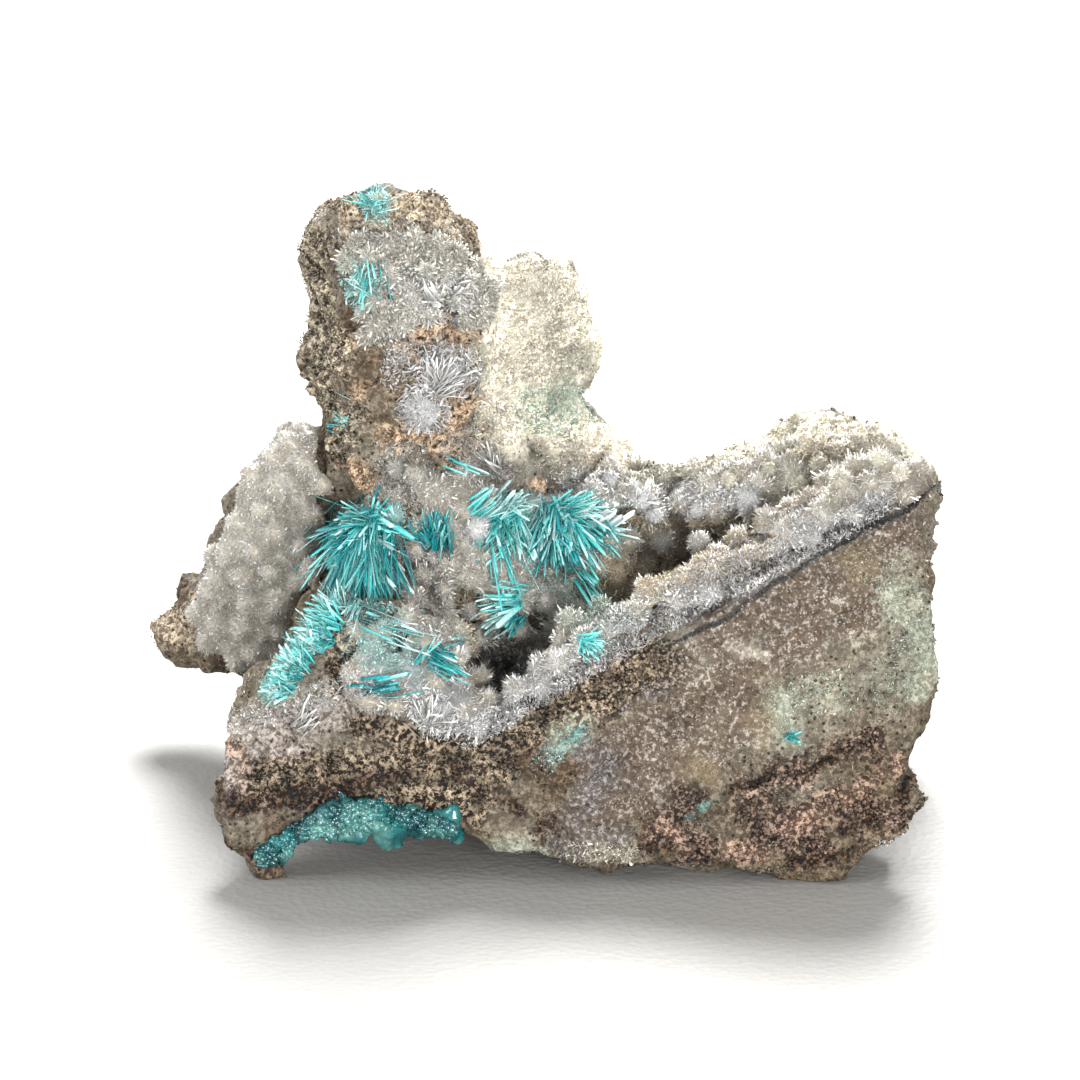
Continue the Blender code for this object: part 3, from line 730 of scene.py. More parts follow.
def leaning(aims, normals, share, rng):
    # the aims turned at random, but never into the ground
    aims = unit(aims + share * rng.normal(size=aims.shape) * rng.uniform(*leanSpan, (len(aims), 1)))
    rise = np.sum(aims * normals, axis=1, keepdims=True)
    return unit(aims + normals * np.maximum(leastRise - rise, 0))


def varied(tints, span, rng):
    # each tint darker or lighter by its own factor
    return tints * rng.uniform(*span, (len(tints), 1))


bladeTaper = 0.92    # width at the shoulder against the foot's


def bladeMesh(roots, aims, lengths, widths, thins, rng, shoulder=0.8, tipSide=0.25):
    # four-sided blades with a slanting tip: 9 points and 12 triangles each
    across, flat = sideways(aims, rng)
    w, t, length = widths[:, None] / 2, thins[:, None] / 2, lengths[:, None]
    corners = [(1, 1), (-1, 1), (-1, -1), (1, -1)]
    foot = [roots + across * w * i + flat * t * j for i, j in corners]
    neck = [
        roots + aims * length * shoulder + across * w * i * bladeTaper + flat * t * j * bladeTaper
        for i, j in corners
    ]
    tip = roots + aims * length + across * w * tipSide
    points = np.stack(foot + neck + [tip], axis=1).reshape(-1, 3)
    faces = []
    for i in range(4):
        j = (i + 1) % 4
        faces += [(i, j, j + 4), (i, j + 4, i + 4), (i + 4, j + 4, 8)]
    first = np.arange(len(roots))[:, None, None] * 9
    return points, (np.array(faces)[None] + first).reshape(-1, 3)


def needleMesh(roots, aims, lengths, widths, rng):
    # three-sided needles: 4 points and 3 triangles each, their feet sunk in the crust
    across, flat = sideways(aims, rng)
    turns = [0, math.tau / 3, 2 * math.tau / 3]
    foot = [roots + (across * math.cos(t) + flat * math.sin(t)) * widths[:, None] / 2 for t in turns]
    points = np.stack(foot + [roots + aims * lengths[:, None]], axis=1).reshape(-1, 3)
    faces = np.array([(0, 1, 3), (1, 2, 3), (2, 0, 3)])
    return points, (faces[None] + np.arange(len(roots))[:, None, None] * 4).reshape(-1, 3)


grainShape = np.array([(1, 0, 0), (-1, 0, 0), (0, 1, 0), (0, -1, 0), (0, 0, 1), (0, 0, -1)], float)
grainFaces = np.array([
    (0, 2, 4), (2, 1, 4), (1, 3, 4), (3, 0, 4), (2, 0, 5), (1, 2, 5), (3, 1, 5), (0, 3, 5),
])
grainSqueeze = (0.55, 1.2)


def grainMesh(places, sizes, rng):
    # angular grains: squeezed and turned eight-sided stones
    count = len(places)
    squeeze = rng.uniform(*grainSqueeze, (count, 6, 1))
    a = unit(rng.normal(size=(count, 3)))
    b, c = sideways(a, rng)
    turned = np.stack([a, b, c], axis=1)
    local = grainShape[None] * squeeze * sizes[:, None, None]
    points = np.einsum("nij,njk->nik", local, turned) + places[:, None]
    first = np.arange(count)[:, None, None] * 6
    return points.reshape(-1, 3), (grainFaces[None] + first).reshape(-1, 3)


# loose grains on the rock
porousGrains = {
    "count": 10000, "size": (0.08, 0.26), "shade": (0.4, 1.2), "proud": 0.20, "heap": 0.25, "seed": 41,
    "zones": {"khaki": 1.0, "orange": 1.0, "tan": 0.9, "brown": 0.8, "iron": 0.5, "dark": 0.5, "pink": 0.3},
    "elsewhere": 0.02,
}
sugarGrains = {
    "count": 6000, "size": (0.08, 0.20), "shade": (0.85, 1.25), "proud": 0.25, "heap": 0.12, "seed": 42,
    "zones": {"cream": 0.9, "plate": 0.9, "mint": 1.0, "silver": 0.9},
    "elsewhere": 0.08,
}
grainClumps = {"patch": (1.6, 2, 47.0, 0.5, 1.3), "least": 0.25}


def makeGrains(name, s, rock, ground, mat):
    rng = np.random.default_rng(s["seed"])
    share = np.full(len(ground["open"]), s["elsewhere"])
    for zone, thick in s["zones"].items():
        share = np.maximum(share, ground["zones"][zone] * thick)
    clumps = patchy(pointsOf(rock.data), *grainClumps["patch"])
    wanted = share * (grainClumps["least"] + clumps) * ground["open"]
    places, normals, readThere = scatterOn(rock.data, wanted, s["count"], s["seed"])
    low, high = s["size"]
    sizes = low + (high - low) * rng.uniform(0, 1, len(places)) ** 2
    mixing = rng.uniform(0, 1, (len(places), 1))
    tints = readThere(ground["tones"]) * (1 - mixing) + readThere(ground["flecks"]) * mixing
    tints = varied(tints, s["shade"], rng)
    lift = sizes * s["proud"] + s["heap"] * readThere(clumps)[:, 0] * rng.uniform(0, 1, len(places))
    points, faces = grainMesh(places + normals * lift[:, None], sizes, rng)
    return newPiece(name, points, faces, np.repeat(tints, 6, axis=0), mat, "limonite")


# the dark vein that crosses the plate
veinSettings = {
    "count": 620, "size": (0.09, 0.17), "width": 2.2, "seed": 43,
    "tone": (0.17, 0.165, 0.16), "shade": (0.4, 2.4),
}


def makeVein(mat):
    s = veinSettings
    rng = np.random.default_rng(s["seed"])
    places, _, _, tints = patchOf(veinPath, s["width"], s["count"], 0.1, s["tone"], rng)
    points, faces = grainMesh(places, rng.uniform(*s["size"], len(places)), rng)
    tints = varied(tints, s["shade"], rng)
    newPiece("slateVein", points, faces, np.repeat(tints, 6, axis=0), mat, "limonite")


# druses
druseZones = {
    "teal": [
        (1.6, [(365, 545), (350, 590)]), (1.5, [(500, 530), (540, 545), (590, 540)]), (0.9, [(425, 410)]),
        (1.0, [(372, 284)]), (0.7, [(590, 640)]), (0.9, [(505, 610)]), (1.0, [(430, 530)]),
        (0.8, [(365, 645)]),
    ],
    "mist": [
        (1.6, [(395, 515)]), (1.6, [(380, 655), (410, 670)]), (1.4, [(425, 410)]),
        (1.5, [(520, 500), (620, 520)]),
    ],
    # painted shadow: the druse in the hole is toned nearly black
    "dim": [(2.0, [(468, 655), (522, 665)]), (1.6, [(495, 682)]), (0.9, [(455, 690)])],
    "moss": [(2.0, [(560, 580), (620, 620)])],
    "honey": [
        (1.3, [(615, 570)]), (1.0, [(415, 535)]), (1.3, [(440, 560)]), (1.5, [(470, 610), (470, 640)]),
        (1.6, [(800, 450), (860, 450)]),
    ],
    # greyer druse in the trough: partly its own tone, partly painted shade
    "ashAndShade": [(2.4, [(640, 560), (760, 555)]), (2.0, [(700, 540), (800, 500)])],
    "snow": [
        (1.0, [(475, 528)]),
        (1.1, [(455, 740), (520, 705), (600, 660), (700, 605), (800, 550), (880, 505)]),
        (1.0, [(750, 500)]), (0.8, [(700, 510)]), (0.8, [(655, 515)]), (0.9, [(800, 485)]),
        (0.9, [(855, 445)]), (1.2, [(640, 500)]), (1.2, [(430, 715), (455, 690)]), (1.2, [(480, 635)]),
    ],
}
# the dim tone is painted shadow, for the hole
druseTones = {
    "teal": (0.40, 0.80, 0.78), "mist": (0.78, 0.88, 0.86), "honey": (0.90, 0.83, 0.68),
    # ashAndShade is partly the druse's own grey, partly painted shade in the trough
    "ashAndShade": (0.80, 0.74, 0.65), "snow": (0.92, 0.92, 0.91), "dim": (0.13, 0.13, 0.11),
    "moss": (0.50, 0.57, 0.50),
}
druseMottle = {"lumps": (3.0, 2, 71.0), "share": 0.16, "cover": 0.95}


def druseTints(points, ground):
    # the zones' tones dimmed as the ground tone is, so a bed's partly painted shade carries over to them
    s = druseMottle
    ground = tone(*ground)
    tints = np.tile(ground, (len(points), 1))
    tints *= (1 + s["share"] * layeredLumps(points, *s["lumps"]))[:, None]
    for name, spots in druseZones.items():
        share = s["cover"] * near(points, spots)[:, None]
        tints = tints * (1 - share) + tone(*druseTones[name]) * ground.max() * share
    return tints


druseSettings = {
    # rosette spacing, dome height, how many needles and blades, their lengths, and the tones; the bed's tone
    # is kept dark partly as painted shade in the gaps between the crystals
    "hollowDruse": {
        "node": "hollow_crust", "voxel": 0.46, "apart": 2.1, "dome": 0.85, "seed": 11,
        "Needles": (36000, (0.3, 0.85)), "Blades": (1800, (0.45, 0.95)),
        "bed": (0.55, 0.52, 0.46), "blade": (0.98, 0.96, 0.91),
    },
    "lobeDruse": {
        "node": "lobe_crust", "voxel": 0.42, "apart": 2.2, "dome": 0.8, "seed": 12,
        "Needles": (17000, (0.25, 0.6)), "Blades": (600, (0.3, 0.5)),
        "bed": (0.60, 0.57, 0.51), "blade": (0.98, 0.96, 0.91),
    },
    "columnDruse": {
        "node": "column_crust", "voxel": 0.38, "apart": 1.9, "dome": 0.6, "seed": 13,
        "Needles": (13000, (0.22, 0.6)), "Blades": (900, (0.4, 0.85)),
        "bed": (0.46, 0.44, 0.39), "blade": (0.90, 0.88, 0.82),
    },
}
# how a druse is built up; reaches are shares of the rosettes' spacing
druseForm = {
    "tries": 1500, "smoothing": 3, "floor": 0.05,
    "domeReach": 0.62, "domeSink": 0.25, "lumps": (0.9, 2, 5.0), "lumpHeight": 0.12,
    # painted shade: the bed is darker away from the rosettes' middles, in the gaps between them
    "bedReach": 0.5, "bedEdge": 1.2, "bedPaintedShade": (0.62, 0.38),
    # a crystal's aim: so much away from the heart under its rosette, so much along the normal
    "heart": 0.7, "aim": (0.7, 0.3), "lean": 0.85, "sunk": 0.1,
    # painted shade: crystals are darker towards the rosettes' edges
    "middleReach": 0.6, "middleEdge": 1.3, "middlePaintedShade": (0.75, 0.25),
    "lengthShare": (0.4, 0.6), "shortening": 1.3, "shade": (0.35, 1.2),
}
needleWidth = (0.06, 0.14)    # mm
bladeWidth = (0.10, 0.19)
bladeThin = 0.45              # of the width
# painted shade at the crystals' feet, and painted highlight at their tips
footPaintedShade = 0.6
tipHighlightGain, tipHighlightLift = 1.2, 0.06


def rosetteCentres(places, apart):
    # which places to keep so that they are at least this far from each other
    kept = []
    for i, place in enumerate(places):
        if not kept or np.min(np.sum((places[kept] - place) ** 2, axis=1)) > apart * apart:
            kept.append(i)
    return kept


def nearestOf(points, centres):
    away = np.full(len(points), 1e9)
    index = np.zeros(len(points), int)
    for i, centre in enumerate(centres):
        d = np.linalg.norm(points - centre, axis=1)
        index = np.where(d < away, i, index)
        away = np.minimum(away, d)
    return index, away


crustAir = {"above": 0.3, "start": 0.02, "look": 7.0, "tight": 1.1, "tightShare": 0.25}    # mm, and a share


def openSkin(points, normals):
    # 1 where a crust looks into open air, little where rock is close in front of it, 0 where it touches
    s = crustAir
    shown = (points[:, 2] > s["above"]).astype(float)
    for i in np.flatnonzero(shown):
        start = Vector(points[i] + normals[i] * s["start"])
        far = rockTree.ray_cast(start, Vector(normals[i]), s["look"])[3]
        if far is not None:
            shown[i] = s["tightShare"] if far > s["tight"] else 0.0
    return shown


def makeDruse(name, bladeMat, bedMat):
    s, form = druseSettings[name], druseForm
    apart = s["apart"]
    rng = np.random.default_rng(s["seed"])
    bed = fineCopy(name + "Bed", s["node"], s["voxel"], form["smoothing"])
    mesh = bed.data
    points, normals = pointsOf(mesh), normalsOf(mesh)
    shown = openSkin(points, normals)
    places, placeNormals, _ = scatterOn(mesh, shown, form["tries"], s["seed"])
    chosen = rosetteCentres(places, apart)
    centres, centreNormals = places[chosen], placeNormals[chosen]
    _, away = nearestOf(points, centres)
    rise = s["dome"] * (smooth(1 - away / (form["domeReach"] * apart)) - form["domeSink"])
    rise = rise + form["lumpHeight"] * layeredLumps(points, *form["lumps"])
    points = points + normals * rise[:, None]
    points[:, 2] = np.maximum(points[:, 2], form["floor"])
    movePoints(mesh, points)
    # painted shade: the bed's colour darkens between the rosettes
    low, high = form["bedPaintedShade"]
    shade = low + high * smooth(form["bedEdge"] - away / (form["bedReach"] * apart))
    dress(bed, druseTints(points, s["bed"]) * shade[:, None], bedMat, [s["node"]])
    for kind in ("Needles", "Blades"):
        count, (shortest, longest) = s[kind]
        places, normals, _ = scatterOn(mesh, shown, count, s["seed"] + len(kind))
        index, away = nearestOf(places, centres)
        hearts = centres[index] - centreNormals[index] * form["heart"]
        outward, upright = form["aim"]
        aims = leaning(outward * unit(places - hearts) + upright * normals, normals, form["lean"], rng)
        middle = smooth(form["middleEdge"] - away / (form["middleReach"] * apart))
        low, high = form["lengthShare"]
        lengths = (longest - shortest) * rng.uniform(0, 1, count) ** form["shortening"]
        lengths = shortest + lengths * (low + high * middle)
        # painted shade on the crystals away from their rosette's middle
        low, high = form["middlePaintedShade"]
        tints = varied(druseTints(places, s["blade"]), form["shade"], rng) * (low + high * middle)[:, None]
        roots = places - aims * form["sunk"]
        grow(name + kind, kind, roots, aims, lengths, tints, rng, bladeMat, [s["node"]])
    return bed


def twoToned(foot, tip, low, high):
    # every crystal's first points take the foot's tone, the others the tip's
    both = [np.repeat(foot[:, None], low, axis=1), np.repeat(tip[:, None], high, axis=1)]
    return np.concatenate(both, axis=1).reshape(-1, 3)


def grow(name, kind, roots, aims, lengths, tints, rng, mat, replaced=(), slot="hemimorphite"):
    # needles or blades as one piece, with painted shade at their feet and painted highlight towards their
    # tips
    if kind == "Needles":
        widths = rng.uniform(*needleWidth, len(roots))
        points, faces = needleMesh(roots, aims, lengths, widths, rng)
        low, high = 3, 1
    else:
        widths = rng.uniform(*bladeWidth, len(roots))
        points, faces = bladeMesh(roots, aims, lengths, widths, widths * bladeThin, rng)
        low, high = 4, 5
    tips = np.minimum(tints * tipHighlightGain + tipHighlightLift, 1.0)
    newPiece(name, points, faces, twoToned(tints * footPaintedShade, tips, low, high), mat, slot, replaced)


# crystals that stand on the rock itself
coatTones = {
    "white": (0.97, 0.97, 0.96), "cream": (0.95, 0.92, 0.83), "grey": (0.80, 0.785, 0.745),
    # shade is a painted-shade tone, for the needles at the hole
    "honey": (0.88, 0.80, 0.66), "shade": (0.36, 0.35, 0.31), "sea": (0.66, 0.84, 0.81),
    "mint": (0.84, 0.92, 0.83), "moss": (0.72, 0.78, 0.72),
}
# needles and blades where the photograph shows them: pixels of the streak, its half width in pixels,
# needles, blades, longest length in mm, tone
coatPatches = [
    ([(350, 245), (400, 235), (465, 240)], 22, 1200, 160, 0.6, "grey"),
    ([(400, 290), (470, 300)], 30, 1100, 200, 0.8, "white"),
    ([(430, 360), (465, 375)], 24, 900, 260, 1.1, "white"),
    ([(400, 330), (395, 380)], 16, 500, 60, 0.6, "white"),
    ([(480, 330), (500, 400), (490, 450)], 26, 1500, 200, 0.8, "cream"),
    ([(425, 408)], 26, 700, 160, 0.9, "white"), ([(455, 440), (500, 480)], 22, 1000, 120, 0.7, "grey"),
    ([(385, 455), (420, 460)], 18, 500, 80, 0.7, "grey"),
    ([(400, 490), (380, 500)], 16, 500, 60, 0.6, "grey"),
    ([(500, 270), (570, 262)], 24, 1600, 120, 0.6, "cream"),
    ([(510, 310), (580, 300)], 30, 2600, 260, 0.7, "cream"),
    ([(520, 360), (590, 345)], 30, 2600, 260, 0.7, "cream"),
    ([(530, 410), (580, 410)], 26, 1500, 140, 0.7, "mint"),
    ([(540, 450), (600, 455), (660, 470)], 22, 1500, 200, 0.7, "cream"),
    ([(640, 470), (760, 450)], 16, 1500, 120, 0.6, "cream"),
    ([(780, 435), (900, 440)], 22, 2000, 240, 0.7, "cream"),
    ([(560, 480), (620, 490)], 18, 700, 120, 0.7, "white"),
    ([(640, 500), (760, 500)], 20, 1500, 300, 0.8, "white"),
    ([(468, 735), (520, 704), (600, 656), (700, 600), (800, 549), (885, 500)], 15, 6000, 500, 0.65, "white"),
    ([(220, 725), (300, 702), (345, 690)], 16, 900, 160, 0.5, "white"),
    ([(420, 700), (445, 725)], 20, 600, 260, 1.1, "white"),
    ([(350, 680), (400, 690)], 16, 600, 120, 0.7, "white"),
    ([(360, 640), (410, 650)], 26, 1500, 120, 0.5, "sea"),
    ([(340, 600), (400, 620)], 14, 700, 100, 0.6, "sea"),
    ([(305, 640), (280, 680)], 18, 900, 80, 0.6, "sea"),
    ([(540, 765), (580, 735)], 14, 300, 30, 0.4, "sea"),
    ([(368, 190), (378, 212)], 16, 700, 120, 0.7, "sea"),
    ([(355, 270), (365, 300)], 18, 700, 160, 0.8, "sea"),
    ([(310, 200), (320, 215)], 10, 250, 40, 0.5, "white"),
    ([(880, 560), (920, 640), (880, 700)], 26, 1500, 60, 0.4, "mint"),
    ([(780, 700), (850, 690)], 24, 700, 40, 0.4, "mint"),
    ([(560, 850), (640, 856)], 10, 300, 40, 0.5, "cream"),
    ([(880, 855), (915, 840)], 12, 300, 60, 0.6, "white"),
    ([(240, 600), (210, 615)], 14, 400, 20, 0.4, "grey"),
]
hollowPatches = [
    ([(390, 470), (450, 500)], 26, 1500, 80, 0.6, "grey"),
    ([(400, 540), (440, 600)], 30, 2400, 120, 0.6, "grey"),
    ([(440, 620), (465, 640)], 20, 900, 40, 0.5, "grey"),
    ([(470, 560), (540, 580)], 26, 2000, 80, 0.6, "grey"),
    ([(540, 600), (600, 610)], 26, 1800, 60, 0.6, "moss"),
    ([(600, 560), (640, 590)], 26, 1800, 60, 0.6, "honey"),
    ([(640, 520), (760, 540)], 26, 3000, 100, 0.6, "honey"),
    ([(640, 580), (700, 560)], 20, 1400, 60, 0.6, "honey"),
    ([(760, 490), (860, 480)], 20, 1800, 80, 0.6, "cream"),
    # painted shade: the needles at the hole take the dark shade tone
    ([(480, 645), (530, 650)], 14, 900, 40, 0.5, "shade"),
    ([(500, 690), (560, 655), (640, 605), (740, 552), (820, 512)], 14, 4200, 200, 0.6, "white"),
]
# balls of blades: radius in mm, pixel, tone
rosetteSpots = [
    (1.3, 750, 500, "white"), (0.9, 700, 510, "white"), (0.9, 655, 515, "white"), (1.1, 800, 485, "cream"),
    (1.1, 855, 445, "cream"), (0.9, 730, 480, "cream"), (0.8, 680, 490, "white"), (0.9, 780, 450, "cream"),
    (1.0, 820, 465, "cream"), (0.9, 880, 460, "cream"), (0.8, 770, 470, "cream"), (1.2, 640, 500, "white"),
    (0.9, 610, 480, "white"), (1.5, 475, 528, "white"), (1.2, 395, 515, "sea"), (1.9, 425, 410, "white"),
    (1.2, 440, 560, "grey"), (1.1, 470, 610, "grey"), (1.2, 545, 600, "grey"), (1.3, 615, 572, "honey"),
    (1.0, 480, 637, "grey"), (1.2, 438, 712, "white"), (1.0, 590, 555, "grey"), (1.2, 400, 470, "grey"),
    (1.1, 500, 570, "grey"), (1.0, 520, 630, "grey"), (0.9, 460, 650, "grey"), (1.4, 660, 540, "grey"),
    (1.2, 700, 545, "grey"), (1.1, 840, 480, "cream"), (1.0, 900, 475, "cream"),
]
rosetteBlades = {"Needles": 430, "Blades": 20}
rosetteForm = {
    "ball": 0.66, "skin": 0.95, "raised": 0.1, "length": (0.25, 0.5),    # shares of the radius
    "toNormal": 0.7, "toEye": 0.5, "lean": 0.5,
    # painted shade: the hearts' tone is darkened where the blades hide them
    "heartPaintedShade": 0.42, "heartLumps": 0.14, "lumpWidth": 0.5,
}
wildCoat = {"Needles": (7000, (0.2, 0.5)), "Blades": (400, (0.3, 0.6))}   # thinly over the sides not shown
coatForm = {
    "seed": 21, "placeSeed": 22, "clump": (5.0, 3, 41.0, 0, 1.8), "least": 0.02, "lean": 0.8, "rockTone": 0.3,
    "shade": (0.5, 1.1), "mottle": (1.3, 2, 61.0, 0.5, 1.6), "mottleShade": (0.7, 0.38), "sunk": 0.08,
}


def makeCoat(rock, ground, bladeMat):
    s = coatForm
    rng = np.random.default_rng(s["seed"])
    clump = patchy(pointsOf(rock.data), *s["clump"])
    bare = 1 - together(ground["zones"], dict.fromkeys(ground["zones"], 1))
    wanted = (bare * clump + s["least"]) * ground["open"]
    cream = tone(*coatTones["cream"])
    dark, light = s["mottleShade"]
    for kind, (count, (low, high)) in wildCoat.items():
        places, normals, readThere = scatterOn(rock.data, wanted, count, s["placeSeed"])
        tints = s["rockTone"] * readThere(ground["flecks"]) + (1 - s["rockTone"]) * cream
        wild = [(places, leaning(normals, normals, s["lean"], rng), rng.uniform(low, high, count), tints)]
        balls = [
            rosetteOf(radius, px, py, coatTones[toneName], rosetteBlades[kind], rng)
            for radius, px, py, toneName in rosetteSpots
        ]
        for name, patches, others in (("rockCoat", coatPatches, wild), ("hollowCoat", hollowPatches, balls)):
            parts = list(others)
            for pixels, half, needles, blades, longest, toneName in patches:
                many = needles if kind == "Needles" else blades
                parts.append(patchOf(pixels, half, many, longest, coatTones[toneName], rng))
            roots, aims, lengths, tints = joined(parts)
            tints = varied(tints, s["shade"], rng)
            tints = tints * (dark + light * patchy(roots, *s["mottle"]))[:, None]
            grow(name + kind, kind, roots - aims * s["sunk"], aims, lengths, tints, rng, bladeMat)


def joined(parts):
    return [np.concatenate(part) for part in zip(*parts)]


patchForm = {"lean": 1.0, "length": (0.35, 1.0), "shortening": 1.3}


def patchOf(pixels, half, count, longest, colour, rng):
    # crystals on whatever the pixels of a streak meet
    legs = list(zip(pixels, pixels[1:] or pixels))
    places, normals = [], []
    for leg in rng.integers(0, len(legs), count):
        (x0, y0), (x1, y1) = legs[leg]
        t, turn, out = rng.uniform(0, 1), rng.uniform(0, math.tau), half * math.sqrt(rng.uniform(0, 1))
        px = x0 + (x1 - x0) * t + out * math.cos(turn)
        py = y0 + (y1 - y0) * t + out * math.sin(turn)
        place, normal, _, _ = skinTree.ray_cast(viewEye, pixelAim(px, py))
        if place is not None:
            places.append(place)
            normals.append(normal)
    places, normals = np.array(places), np.array(normals)
    aims = leaning(normals, normals, patchForm["lean"], rng)
    lengths = longest * rng.uniform(*patchForm["length"], len(places)) ** patchForm["shortening"]
    return places, aims, lengths, np.tile(tone(*colour), (len(places), 1))


def rosetteCentre(radius, px, py):
    place, normal, _, _ = skinTree.ray_cast(viewEye, pixelAim(px, py))
    return np.array(place) + np.array(normal) * radius * rosetteForm["raised"], np.array(normal)


def rosetteOf(radius, px, py, colour, count, rng):
    s = rosetteForm
    centre, normal = rosetteCentre(radius, px, py)
    outward = rng.normal(size=(count, 3)) + s["toNormal"] * normal - s["toEye"] * np.array(viewForward)
    outward = unit(outward)
    aims = leaning(outward, outward, s["lean"], rng)
    lengths = radius * rng.uniform(*s["length"], count)
    roots = centre + outward * radius * s["ball"] * s["skin"]
    return roots, aims, lengths, np.tile(tone(*colour), (count, 1))


def makeBalls(mat):
    # the rosettes' solid hearts, darkened as painted shade among their blades
    s = rosetteForm
    ball = bmesh.new()
    bmesh.ops.create_icosphere(ball, subdivisions=3, radius=1.0)
    ballPoints = np.array([vertex.co for vertex in ball.verts])
    ballFaces = np.array([[vertex.index for vertex in face.verts] for face in ball.faces])
    parts = []
    for i, (radius, px, py, toneName) in enumerate(rosetteSpots):
        bumpy = 1 + s["heartLumps"] * lumps(ballPoints, s["lumpWidth"], i * 3.1)
        found = ballPoints * bumpy[:, None] * radius * s["ball"] + rosetteCentre(radius, px, py)[0]
        tints = np.tile(tone(*coatTones[toneName]) * s["heartPaintedShade"], (len(ballPoints), 1))
        parts.append((found, ballFaces + i * len(ballPoints), tints))
    ball.free()
    balls = newPiece("rosetteHearts", *joined(parts), mat, "hemimorphite")
    balls.data.shade_smooth()


# aurichalcite sprays
sprayTones = {
    "deep": ((0.01, 0.44, 0.47), (0.04, 0.60, 0.62)), "mid": ((0.04, 0.58, 0.60), (0.26, 0.76, 0.75)),
    "bright": ((0.12, 0.72, 0.72), (0.50, 0.88, 0.86)), "pale": ((0.42, 0.83, 0.82), (0.82, 0.96, 0.95)),
    "white": ((0.76, 0.94, 0.94), (0.99, 1.0, 1.0)), "clear": ((0.62, 0.61, 0.59), (0.98, 0.98, 0.97)),
}
# short felt under the blades: pixels of the streak, its half width in pixels, needles, longest in mm, tone
feltPatches = [
    ([(345, 530), (348, 590)], 17, 1300, 1.1, "deep"), ([(366, 520), (378, 600)], 13, 900, 1.1, "mid"),
    ([(552, 515), (575, 560)], 15, 900, 1.1, "deep"), ([(575, 520), (612, 545)], 13, 600, 1.0, "mid"),
    ([(495, 500), (525, 520)], 14, 600, 0.9, "bright"), ([(520, 520), (535, 560)], 14, 600, 1.0, "mid"),
    ([(325, 612), (270, 690)], 12, 1500, 0.9, "bright"), ([(335, 605), (285, 680)], 6, 500, 0.8, "pale"),
    ([(432, 528)], 14, 500, 0.8, "deep"), ([(498, 605), (500, 625)], 10, 300, 0.8, "mid"),
    ([(362, 284)], 14, 400, 0.7, "bright"), ([(368, 192), (374, 215)], 11, 450, 0.6, "bright"),
    ([(437, 665)], 9, 250, 0.7, "deep"), ([(593, 640)], 8, 250, 0.5, "bright"),
    ([(425, 410)], 9, 200, 0.6, "bright"), ([(380, 686)], 8, 150, 0.6, "deep"),
    ([(370, 618), (420, 632)], 7, 300, 0.7, "pale"), ([(395, 516)], 12, 250, 0.6, "pale"),
    ([(550, 756), (580, 732)], 3, 50, 0.3, "pale"), ([(795, 738)], 4, 60, 0.3, "mid"),
    ([(692, 812), (712, 802)], 4, 60, 0.3, "mid"),
]
